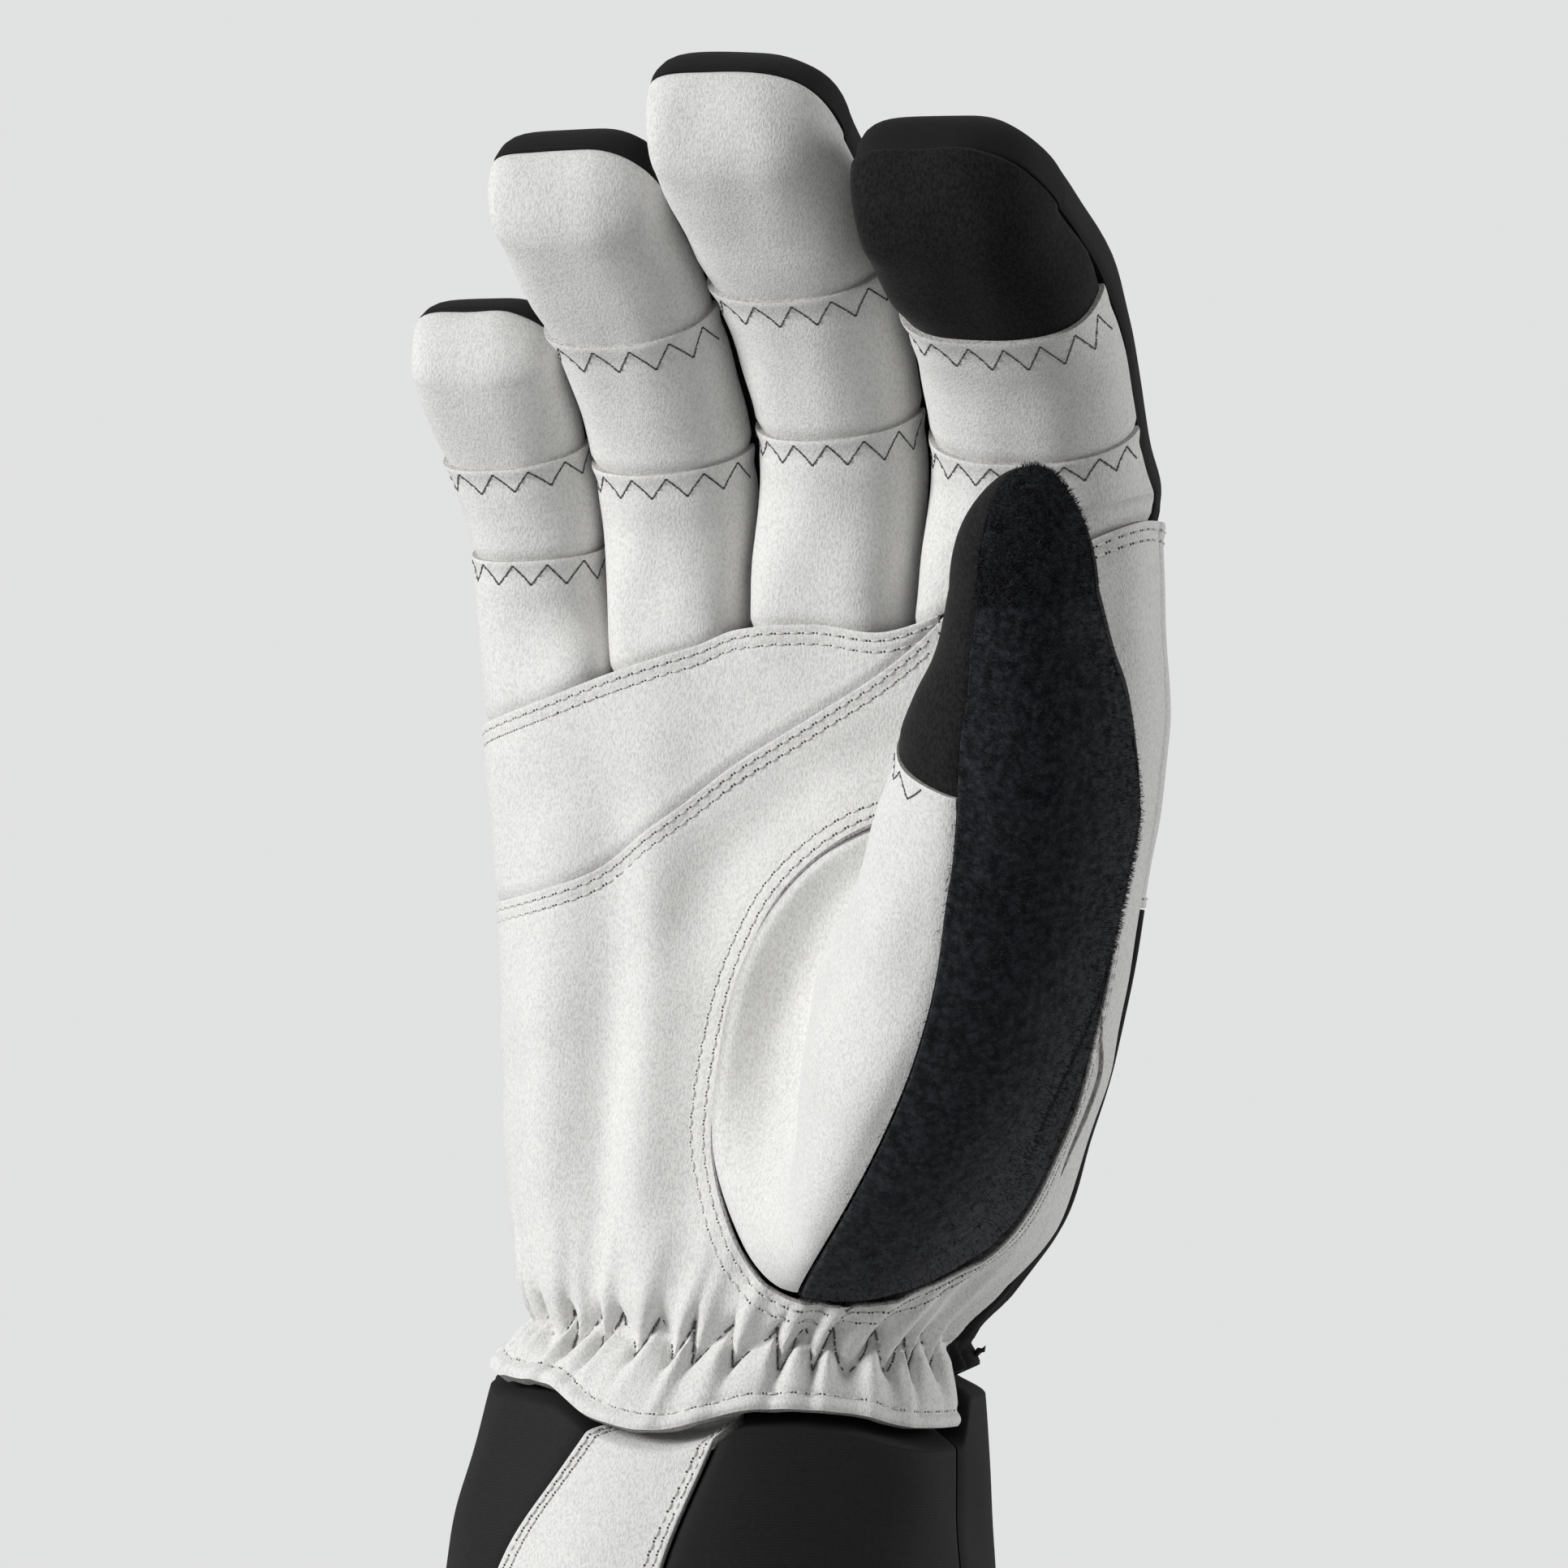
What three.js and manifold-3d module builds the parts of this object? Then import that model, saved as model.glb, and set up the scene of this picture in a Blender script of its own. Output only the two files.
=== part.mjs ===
// A ski touring glove for the right hand, in the rounded shape that it has when it is worn.
//
// White goat leather covers the palm and the front of the fingers in short pieces that meet at the finger
// joints. Black softshell covers the back of the hand and fingers and turns over each fingertip. The thumb
// grows out of an oval hole in the palm leather, with a fleece wiping pad on its outer side and a smooth black
// touch patch, like the one on the index finger. An elastic gathers the wrist, and a woven cuff with a leather
// strip hangs out from under the ruffled hem. Every piece is a wall of one thickness round an open hollow.
//
// Millimetres. +Z runs from the cuff to the fingertips, the palm faces -Y and the thumb side is +X. The origin
// is the middle of the cuff's open rim. Turning words: an angle round the hand is 0 at the palm, 90 degrees on
// the thumb side and -90 degrees on the little finger's side.
import * as THREE from "three";
import Module from "manifold-3d";
import { mergeVertices } from "three/addons/utils/BufferGeometryUtils.js";

// Walls and seams
const leatherWall = 1.8;
const softshellWall = 2.0;
const fleeceWall = 2.6;
const cuffWall = 1.6;
const seamGap = 0.3;
const fingerSeamGap = 0.7;
const sideSeamTurn = 1.5;

// Hand and cuff
const palmWidth = 104;
const palmDepth = 38;
const palmHeight = 101;
const cuffHeight = 79;
const cuffWidth = 84;
const cuffDepth = 78;
const hemLength = 11;
const gatherDepth = 0.7;
const gatherReach = 9;
const gatherTop = 19;
const pleats = 28;
const broadPleats = 17;
const broadShare = 0.4;
const elasticPinch = 1.6;
const elasticWide = 4;
const elasticSlope = -0.055;

// Side seams of the palm leather round the hand, in degrees, and the patch on the index finger's side
const pinkySideSeam = -100;
const patchTurn = 126;
const patchHeight = 62;
const sideSeamRows = [
  { up: -0.14, turn: 77 },
  { up: -0.05, turn: 79 },
  { up: 0.03, turn: 86 },
  { up: 0.2, turn: 97 },
  { up: 1.2, turn: 97 },
];

// Thumb hole, in degrees round the hand and millimetres above the elastic
const holeTurn = 34.5;
const holeTurnReach = 41;
const holeHeight = 41;
const holeHeightReach = 36;
const holeLean = 1.5;
const holeSquare = 2.3;
const holeShare = 0.978;
const holeInset = 0.003;
const holeSpokes = 44;

// Thumb
const thumbLength = 62;
const thumbWidth = 36.6;
const thumbTipLength = 17;
const thumbTurn = 167;
const thumbForward = 47;
const thumbAcross = 57;
const thumbRootHeight = 62;
const thumbSquare = 2.1;
const thumbRound = 1.8;
const rootRun = { inward: 0.8, forward: 0.1 };
const swellRun = { inward: 0.42, forward: 1.15 };
const rootValley = { angle: 168, wide: 45, deep: 0.5 };
const frontSeamAngle = 255;
const backSeamAngle = 38;
const touchSeam = 0.47;
const fleeceRootEdge = -0.93;
const fleeceBackEdge = -0.28;
const fleeceGap = 0.02;
const thumbBackStart = -0.9;

// Fingers. left and right: the base's edges as shares of the palm's width. length: from the palm seam to the
// start of the round tip. reach: how far the tip leans forward. lean: slope of the tip's seam.
const fingers = [
  { name: "pinky", left: -0.3385, right: -0.123, width: 22, depth: 22, length: 51, reach: 15, tip: 8, lean: 0.12 },
  { name: "ring", left: -0.123, right: 0.08, width: 24.6, depth: 25, length: 65, reach: 29, tip: 10.5, lean: 0.16 },
  { name: "middle", left: 0.08, right: 0.318, width: 25.8, depth: 26, length: 69.5, reach: 32, tip: 12, lean: 0.16 },
  { name: "index", left: 0.318, right: 0.645, width: 31.6, depth: 27, length: 52, reach: 34, tip: 13.5, lean: 0.16 },
];
const fingerGap = 0.5;
const fingerLoose = 0.35;
const baseSquare = 4.2;
const fingerSquare = 2.35;
const tipSquareLeft = 5.5;
const tipSquareRight = 2.6;
const padRound = 1.7;
const tipRound = 2.3;

// Sections of the hand. up: share of the palm's height above the elastic. middle and wide: shares of the palm's
// width. front and back: shares of the palm's depth. square: the superellipse's exponent.
const handRows = [
  { up: -0.13, middle: 0.0, wide: 0.785, front: 0.83, back: 0.79, square: 2.2 },
  { up: 0.0, middle: 0.044, wide: 0.675, front: 0.71, back: 0.69, square: 2.2 },
  { up: 0.06, middle: 0.066, wide: 0.72, front: 0.7, back: 0.68, square: 2.2 },
  { up: 0.16, middle: 0.097, wide: 0.808, front: 0.68, back: 0.66, square: 2.3 },
  { up: 0.28, middle: 0.112, wide: 0.856, front: 0.65, back: 0.63, square: 2.4 },
  { up: 0.4, middle: 0.128, wide: 0.897, front: 0.6, back: 0.61, square: 2.5 },
  { up: 0.63, middle: 0.145, wide: 0.946, front: 0.52, back: 0.58, square: 2.7 },
  { up: 0.87, middle: 0.153, wide: 1.0, front: 0.485, back: 0.55, square: 2.9 },
  { up: 1.0, middle: 0.154, wide: 0.99, front: 0.47, back: 0.51, square: 3.0 },
  { up: 1.2, middle: 0.154, wide: 0.985, front: 0.45, back: 0.47, square: 3.0 },
];

// Height of the seam where the fingers meet the palm leather, across the hand. across: share of the palm's width.
const fingerSeamRows = [
  { across: -0.36, up: 0.868 },
  { across: -0.23, up: 0.906 },
  { across: -0.122, up: 0.944 },
  { across: -0.02, up: 0.975 },
  { across: 0.03, up: 0.99 },
  { across: 0.085, up: 1.011 },
  { across: 0.2, up: 1.018 },
  { across: 0.317, up: 1.008 },
  { across: 0.48, up: 1.08 },
  { across: 0.605, up: 1.145 },
  { across: 0.65, up: 1.168 },
];

// Height of the slanting seam between the two palm pieces. It ends where it meets the seam above.
const slantSeamRows = [
  { across: -0.36, up: 0.608 },
  { across: -0.155, up: 0.653 },
  { across: -0.034, up: 0.73 },
  { across: 0.088, up: 0.82 },
  { across: 0.21, up: 0.891 },
  { across: 0.317, up: 0.96 },
  { across: 0.4, up: 1.04 },
  { across: 0.65, up: 1.4 },
];

// Length of the palm leather's hem below the elastic's height, round the hand. The back's hem is even.
const hemRows = [
  { turn: -100, down: 0.4 },
  { turn: -85, down: 0.35 },
  { turn: -56, down: 0.55 },
  { turn: -30, down: 0.63 },
  { turn: -15, down: 1.0 },
  { turn: 2, down: 1.16 },
  { turn: 20, down: 0.89 },
  { turn: 42, down: 0.93 },
  { turn: 60, down: 1.15 },
  { turn: 100, down: 1.15 },
];
const backHem = 0.45;

// Broad hollows and folds of the palm leather. across and wide: shares of the palm's width. up and tall: shares
// of the palm's height. out: millimetres of relief, hollows below zero.
const palmFolds = [
  { across: 0.06, up: 0.5, wide: 0.14, tall: 0.32, out: -2.2 },
  { across: -0.29, up: 0.4, wide: 0.055, tall: 0.34, out: -1.5 },
  { across: -0.2, up: 0.36, wide: 0.055, tall: 0.32, out: 1.3 },
  { across: -0.11, up: 0.36, wide: 0.05, tall: 0.32, out: -1.9 },
  { across: -0.03, up: 0.4, wide: 0.05, tall: 0.34, out: 1.6 },
];

// Folds of the leather between the thumb hole and the thumb. angle and wide: degrees round the hole. up and
// tall: shares of the way from the hole to the thumb.
const thumbFolds = [
  { angle: 155, up: 0.3, wide: 55, tall: 0.17, out: -4.2 },
  { angle: 205, up: 0.27, wide: 24, tall: 0.13, out: -2.4 },
  { angle: 212, up: 0.6, wide: 34, tall: 0.2, out: 2.4 },
];

// Sections of the fingers. up: share of the length. side and wide: shares of the width. out: share of the reach.
// deep: share of the depth.
const fingerRows = {
  pinky: [
    { up: 0.0, side: 0.0, out: 0.0, wide: 1.0, deep: 1.0 },
    { up: 0.25, side: -0.09, out: 0.1, wide: 0.96, deep: 1.02 },
    { up: 0.52, side: -0.1, out: 0.28, wide: 0.95, deep: 1.0 },
    { up: 0.75, side: -0.17, out: 0.55, wide: 1.0, deep: 0.98 },
    { up: 1.0, side: -0.25, out: 1.0, wide: 0.98, deep: 0.9 },
  ],
  ring: [
    { up: 0.0, side: 0.0, out: 0.0, wide: 0.86, deep: 1.0 },
    { up: 0.18, side: -0.06, out: 0.05, wide: 0.92, deep: 1.02 },
    { up: 0.4, side: -0.06, out: 0.18, wide: 0.98, deep: 1.0 },
    { up: 0.6, side: -0.09, out: 0.37, wide: 1.0, deep: 0.98 },
    { up: 0.82, side: -0.17, out: 0.68, wide: 1.04, deep: 0.96 },
    { up: 1.0, side: -0.28, out: 1.0, wide: 1.0, deep: 0.88 },
  ],
  middle: [
    { up: 0.0, side: 0.0, out: 0.0, wide: 0.95, deep: 1.0 },
    { up: 0.2, side: 0.01, out: 0.06, wide: 0.96, deep: 1.02 },
    { up: 0.4, side: 0.06, out: 0.19, wide: 0.97, deep: 1.0 },
    { up: 0.6, side: 0.03, out: 0.38, wide: 1.0, deep: 0.98 },
    { up: 0.8, side: -0.03, out: 0.65, wide: 1.04, deep: 0.96 },
    { up: 1.0, side: -0.12, out: 1.0, wide: 1.04, deep: 0.88 },
  ],
  index: [
    { up: 0.0, side: 0.0, out: 0.0, wide: 1.07, deep: 1.0 },
    { up: 0.22, side: 0.035, out: 0.07, wide: 1.04, deep: 1.02 },
    { up: 0.45, side: 0.045, out: 0.22, wide: 0.98, deep: 1.0 },
    { up: 0.68, side: 0.065, out: 0.46, wide: 0.97, deep: 0.98 },
    { up: 0.85, side: 0.06, out: 0.72, wide: 0.93, deep: 0.95 },
    { up: 1.0, side: 0.005, out: 1.0, wide: 0.86, deep: 0.88 },
  ],
};

// Cross seams of each finger's leather, as shares of its length.
const fingerSeams = {
  pinky: [0.46, 0.76],
  ring: [0.475, 0.79],
  middle: [0.45, 0.765],
  index: [0.44, 0.82],
};

// Sections of the thumb above its root. across: share of the thumb's width. out: share of its forward place.
// turn: degrees that the section turns towards the back of the hand.
const thumbRows = [
  { up: 0.0, across: 0.0, out: 0.0, wide: 1.02, deep: 1.0, turn: 11 },
  { up: 0.2, across: 0.09, out: 0.06, wide: 1.0, deep: 0.98, turn: 7 },
  { up: 0.38, across: 0.17, out: 0.13, wide: 0.95, deep: 0.95, turn: 2 },
  { up: 0.53, across: 0.22, out: 0.19, wide: 0.89, deep: 0.88, turn: -2 },
  { up: 0.68, across: 0.26, out: 0.24, wide: 0.79, deep: 0.78, turn: -6 },
  { up: 0.8, across: 0.28, out: 0.28, wide: 0.68, deep: 0.67, turn: -8 },
  { up: 1.0, across: 0.3, out: 0.33, wide: 0.55, deep: 0.55, turn: -10 },
];

// Sections of the cuff. up: share of the cuff's height. The rest are shares of the cuff's width and depth.
const cuffRows = [
  { up: 0.0, middle: 0.0, wide: 1.0, front: 0.5, back: 0.5 },
  { up: 0.3, middle: 0.0, wide: 0.99, front: 0.495, back: 0.485 },
  { up: 0.6, middle: 0.003, wide: 0.96, front: 0.455, back: 0.445 },
  { up: 0.85, middle: 0.029, wide: 0.892, front: 0.39, back: 0.385 },
  { up: 1.0, middle: 0.042, wide: 0.833, front: 0.36, back: 0.355 },
];
const cuffBlend = 3.5;
const backHemClear = 0.9;
const cuffSquare = 2.1;
const cuffSeamTurn = 1;

// Edges between the cuff's pieces, in degrees round it. up: share of the cuff's height.
const cuffEdges = {
  left: [
    { up: 0.0, turn: -76 },
    { up: 1.0, turn: -76 },
  ],
  stripLeft: [
    { up: 0.0, turn: -52 },
    { up: 0.55, turn: -36 },
    { up: 0.83, turn: -18 },
    { up: 1.0, turn: -12 },
  ],
  stripRight: [
    { up: 0.0, turn: 2 },
    { up: 0.55, turn: 5 },
    { up: 0.83, turn: 13 },
    { up: 1.0, turn: 17 },
  ],
  right: [
    { up: 0.0, turn: 82 },
    { up: 1.0, turn: 76 },
  ],
};
const cuffFold = { turn: 58, wide: 14, out: 2 };

const radians = (degrees) => (degrees * Math.PI) / 180;
const mix = (a, b, t) => a + (b - a) * t;
const clamp = (x, low, high) => Math.min(high, Math.max(low, x));
function smooth(from, to, x) {
  const t = clamp((x - from) / (to - from), 0, 1);
  return t * t * (3 - 2 * t);
}

// A hump of height 1 at x = 0 that fades over about the given width.
const hump = (x, wide) => Math.exp(-((x / wide) ** 2));

// A share between two values for a curve that leaves the first by one vector and comes in by another.
function curveBetween(start, leave, end, arrive, t) {
  const t2 = t * t;
  const t3 = t2 * t;
  return start
    .clone()
    .multiplyScalar(2 * t3 - 3 * t2 + 1)
    .addScaledVector(leave, t3 - 2 * t2 + t)
    .addScaledVector(end, 3 * t2 - 2 * t3)
    .addScaledVector(arrive, t3 - t2);
}

// The value of one column of a table at x: a smooth curve through the rows, keyed by the column named key.
function column(rows, key, name, x) {
  let i = 0;
  while (i < rows.length - 2 && x > rows[i + 1][key]) i++;
  const slope = (j) => {
    const before = rows[Math.max(j - 1, 0)];
    const after = rows[Math.min(j + 1, rows.length - 1)];
    return (after[name] - before[name]) / (after[key] - before[key]);
  };
  const span = rows[i + 1][key] - rows[i][key];
  const t = clamp((x - rows[i][key]) / span, 0, 1);
  const t2 = t * t;
  const t3 = t2 * t;
  return (
    rows[i][name] * (2 * t3 - 3 * t2 + 1) +
    rows[i + 1][name] * (3 * t2 - 2 * t3) +
    slope(i) * span * (t3 - 2 * t2 + t) +
    slope(i + 1) * span * (t3 - t2)
  );
}

// A point of the superellipse |x|^n + |y|^n = 1 at an angle from +y towards +x.
function superellipse(angle, exponent) {
  const sx = Math.sin(angle);
  const sy = Math.cos(angle);
  const reach = (Math.abs(sx) ** exponent + Math.abs(sy) ** exponent) ** (-1 / exponent);
  return { x: sx * reach, y: sy * reach };
}

const elasticHeight = (x) => cuffHeight + elasticSlope * x;
const seamHeight = (rows, x) => cuffHeight + palmHeight * column(rows, "across", "up", x / palmWidth);
const fingerSeam = (x) => seamHeight(fingerSeamRows, x);
const slantSeam = (x) => Math.min(seamHeight(slantSeamRows, x), fingerSeam(x));
const palmHemHeight = (turn) => cuffHeight - hemLength * column(hemRows, "turn", "down", turn);
const backHemHeight = cuffHeight - hemLength * backHem;

// The half depth of the hand at x, on the palm's side for side 1 and on the back for side -1.
function handDepth(x, z, side) {
  const up = (z - cuffHeight) / palmHeight;
  const middle = palmWidth * column(handRows, "up", "middle", up);
  const half = (palmWidth / 2) * column(handRows, "up", "wide", up);
  const square = column(handRows, "up", "square", up);
  const deep = palmDepth * column(handRows, "up", side > 0 ? "front" : "back", up);
  const share = clamp(Math.abs(x - middle) / half, 0, 1);
  return deep * (1 - share ** square) ** (1 / square);
}

// The relief of the gathered wrist: pleats that fade upwards and spread into the ruffled hem, and the waist
// that the elastic pulls in.
function gather(turn, x, z) {
  const above = z - elasticHeight(x);
  const fade = above > 0 ? Math.exp(-above / gatherReach) * smooth(gatherTop, 0.8 * gatherTop, above) : 1;
  const pleat = Math.cos(radians(turn) * pleats) + broadShare * Math.cos(radians(turn) * broadPleats);
  return gatherDepth * fade * pleat - elasticPinch * hump(above, elasticWide);
}

// The hand's outer surface at an angle round the hand, in degrees, and a height, smooth or with its folds. The
// pleats follow pleatTurn, which fans them out where a piece narrows towards the wrist.
function handSurface(turn, z, folds, pleatTurn) {
  const up = (z - cuffHeight) / palmHeight;
  const edge = superellipse(radians(turn), column(handRows, "up", "square", up));
  const half = (palmWidth / 2) * column(handRows, "up", "wide", up);
  const deep = palmDepth * column(handRows, "up", edge.y > 0 ? "front" : "back", up);
  const point = new THREE.Vector3(half * edge.x, -deep * edge.y, z);
  point.x += palmWidth * column(handRows, "up", "middle", up);
  if (!folds) return point;
  let relief = gather(pleatTurn, point.x, z);
  for (const fold of edge.y > 0 ? palmFolds : []) {
    const across = hump(point.x / palmWidth - fold.across, fold.wide);
    relief += fold.out * edge.y * across * hump(up - fold.up, fold.tall);
  }
  return point.addScaledVector(new THREE.Vector3(edge.x / half, -edge.y / deep, 0).normalize(), relief);
}
const smoothHandPoint = (turn, z) => handSurface(turn, z, false, turn);
const handPoint = (turn, z, pleatTurn = turn) => handSurface(turn, z, true, pleatTurn);

// The height where a line up the hand at this angle meets a seam whose height depends on x.
function seamAt(turn, seam) {
  let z = cuffHeight + palmHeight;
  for (let i = 0; i < 8; i++) z = mix(z, seam(smoothHandPoint(turn, z).x), 0.8);
  return z;
}

// A finger's outer surface. side: 1 for the palm side, -1 for the back. q: -1 to 1 across it from seam to seam.
// v: 0 to 1 up the finger, then 1 to 2 over the round tip to the seam that crosses it.
function fingerPoint(finger, side, q, v) {
  const rows = fingerRows[finger.name];
  const middle = (palmWidth * (finger.left + finger.right)) / 2;
  const base = fingerSeam(middle);
  const spine = (t) =>
    new THREE.Vector3(
      middle + finger.width * column(rows, "up", "side", t),
      -finger.reach * column(rows, "up", "out", t),
      base + finger.length * t,
    );
  const t = clamp(v, 0, 1);
  const step = 0.02;
  const loose = smooth(0, fingerLoose, t);
  const along = spine(Math.min(t + step, 1)).sub(spine(Math.min(t, 1 - step))).normalize();
  along.lerp(new THREE.Vector3(0, 0, 1), 1 - loose).normalize();
  const across = new THREE.Vector3(1, 0, 0).addScaledVector(along, -along.x).normalize();
  const out = new THREE.Vector3().crossVectors(across, along);
  const tipSquare = mix(tipSquareLeft, tipSquareRight, smooth(-0.4, 0.4, q));
  const square = mix(mix(baseSquare, fingerSquare, loose), tipSquare, smooth(0.6, 1.2, v));
  const edge = superellipse(radians(90 * q), square);
  const over = superellipse(radians(90 * clamp(v - 1, 0, 1)), side > 0 ? padRound : tipRound);
  const baseHalf = (palmWidth * (finger.right - finger.left) - fingerGap) / 2;
  const half = mix(baseHalf, (finger.width / 2) * column(rows, "up", "wide", t), loose);
  const point = spine(t).addScaledVector(across, half * edge.x);
  const free = (finger.depth / 2) * column(rows, "up", "deep", t);
  const deep = mix(handDepth(point.x, fingerSeam(point.x), side), free, loose);
  point.addScaledVector(out, side * (deep * edge.y * over.y + seamGap / 2));
  const slope = finger.lean * half * edge.x * smooth(fingerLoose, 1, t);
  point.addScaledVector(along, finger.tip * edge.y * over.x - slope);
  point.z += (fingerSeam(point.x) - base) * (1 - loose);
  return point;
}

// The rim of the thumb hole. angle: degrees round the hole, 0 towards the thumb side and 90 towards the fingers.
function holePoint(angle, share) {
  const edge = superellipse(radians(90 - angle), holeSquare);
  const turn = holeTurn + share * (holeTurnReach * edge.x + holeLean * edge.y);
  const z = cuffHeight + holeHeight + share * holeHeightReach * edge.y;
  return smoothHandPoint(turn, z);
}

// The free thumb's outer surface, with side, q and v as on a finger. q is 1 on the seam that faces forwards.
function thumbTubePoint(side, q, v) {
  const spine = (t) =>
    new THREE.Vector3(
      thumbAcross + thumbWidth * column(thumbRows, "up", "across", t),
      -thumbForward - thumbForward * column(thumbRows, "up", "out", t),
      cuffHeight + thumbRootHeight + (thumbLength - thumbTipLength) * t,
    );
  const t = clamp(v, 0, 1);
  const step = 0.02;
  const along = spine(Math.min(t + step, 1)).sub(spine(Math.min(t, 1 - step))).normalize();
  const turn = radians(thumbTurn + column(thumbRows, "up", "turn", t));
  const out = new THREE.Vector3(Math.cos(turn), Math.sin(turn), 0);
  out.addScaledVector(along, -out.dot(along)).normalize();
  const across = new THREE.Vector3().crossVectors(along, out);
  const edge = superellipse(radians(90 * q), thumbSquare);
  const over = superellipse(radians(90 * clamp(v - 1, 0, 1)), thumbRound);
  const half = (thumbWidth / 2) * column(thumbRows, "up", "wide", t);
  const deep = (thumbWidth / 2) * column(thumbRows, "up", "deep", t);
  return spine(t)
    .addScaledVector(across, half * edge.x)
    .addScaledVector(out, side * (deep * edge.y * over.y + seamGap / 2))
    .addScaledVector(along, thumbTipLength * edge.y * over.x);
}

// The angle round the hole from which the thumb's surface rises at q.
function holeAngle(side, q) {
  const share = mix(holeInset, 1 - holeInset, side > 0 ? (q + 1) / 2 : (1 - q) / 2);
  if (side > 0) return mix(backSeamAngle, frontSeamAngle, share);
  return mix(frontSeamAngle, backSeamAngle + 360, share);
}

// The skin between the hole and the free thumb, t from 0 to 1. Towards the palm it first runs in along the hand,
// and towards the wrist and the thumb side it swells forwards.
function thumbRootPoint(side, q, t) {
  const angle = holeAngle(side, q);
  const start = holePoint(angle, holeShare);
  const inward = holePoint(angle, holeShare - 0.1).sub(start).normalize();
  const end = thumbTubePoint(side, q, 0);
  const up = thumbTubePoint(side, q, 0.03).sub(end).normalize();
  const reach = start.distanceTo(end);
  const swell = smooth(-0.3, 0.9, -Math.cos(radians(angle - 110)));
  const forward = new THREE.Vector3(0.1, -1, -0.15 * swell).normalize();
  const leave = inward.multiplyScalar(mix(rootRun.inward, swellRun.inward, swell));
  const valley = rootValley.deep * hump(angle - rootValley.angle, rootValley.wide);
  leave.addScaledVector(forward, mix(rootRun.forward, swellRun.forward, swell) - valley);
  return curveBetween(start, leave.multiplyScalar(reach), end, up.multiplyScalar(reach), t);
}

// The thumb's whole outer surface, v from -1 at the hole to 0 at the thumb's root, then as on a finger.
function thumbPoint(side, q, v) {
  if (v >= 0) return thumbTubePoint(side, q, v);
  const t = v + 1;
  const point = thumbRootPoint(side, q, t);
  if (side < 0) return point;
  const step = 0.01;
  const besides = thumbRootPoint(side, q + step, t).sub(thumbRootPoint(side, q - step, t));
  const ahead = thumbRootPoint(side, q, t + step).sub(thumbRootPoint(side, q, t - step));
  const outward = besides.cross(ahead).normalize();
  const angle = holeAngle(side, q);
  const hold = smooth(1, 0.9, Math.abs(q)) * smooth(0, 0.15, t);
  for (const fold of thumbFolds) {
    const relief = fold.out * hold * hump(angle - fold.angle, fold.wide) * hump(t - fold.up, fold.tall);
    point.addScaledVector(outward, relief);
  }
  return point;
}

// The height of the hem's edge over the cuff, which steps from the palm leather's to the back's at the corners.
function hemOverCuff(turn) {
  const corner = sideSeamRows[0].turn;
  const onPalm = smooth(pinkySideSeam - 8, pinkySideSeam, turn) * smooth(corner + 10, corner + 2, turn);
  return mix(backHemHeight - backHemClear, palmHemHeight(turn), onPalm);
}

// The cuff's outer surface. Above the hem's edge it is tucked in under the leather, and below it swells out.
function cuffPoint(turn, z) {
  const up = z / cuffHeight;
  const edge = superellipse(radians(turn), cuffSquare);
  const pinch = elasticPinch * hump(z - cuffHeight, elasticWide + 3);
  const tuck = softshellWall + (1 + broadShare) * gatherDepth + pinch + 2 * seamGap;
  const below = smooth(0, cuffBlend, hemOverCuff(turn) - z);
  const wristHalf = (palmWidth / 2) * column(handRows, "up", "wide", 0) - tuck;
  const wristDeep = palmDepth * column(handRows, "up", edge.y > 0 ? "front" : "back", 0) - tuck;
  const half = mix(wristHalf, (cuffWidth / 2) * column(cuffRows, "up", "wide", up), below);
  const full = cuffDepth * column(cuffRows, "up", edge.y > 0 ? "front" : "back", up);
  const deep = mix(wristDeep, full, below);
  const wristMiddle = palmWidth * column(handRows, "up", "middle", 0);
  const middle = mix(wristMiddle, cuffWidth * column(cuffRows, "up", "middle", up), below);
  const swell = 1 + (cuffFold.out * below * hump(turn - cuffFold.turn, cuffFold.wide)) / half;
  return new THREE.Vector3(middle + half * edge.x * swell, -deep * edge.y * swell, z);
}

// Fills the strip between two lines of vertices with triangles, whatever their counts.
function fillStrip(faces, low, high, flip) {
  const add = (a, b, c) => (flip ? faces.push(a, c, b) : faces.push(a, b, c));
  let i = 0;
  let j = 0;
  while (i < low.length - 1 || j < high.length - 1) {
    const lowNext = (i + 1) / (low.length - 1);
    const highNext = (j + 1) / (high.length - 1);
    if (j === high.length - 1 || (i < low.length - 1 && lowNext <= highNext)) {
      add(low[i], low[i + 1], high[j]);
      i++;
    } else {
      add(low[i], high[j + 1], high[j]);
      j++;
    }
  }
}

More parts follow.
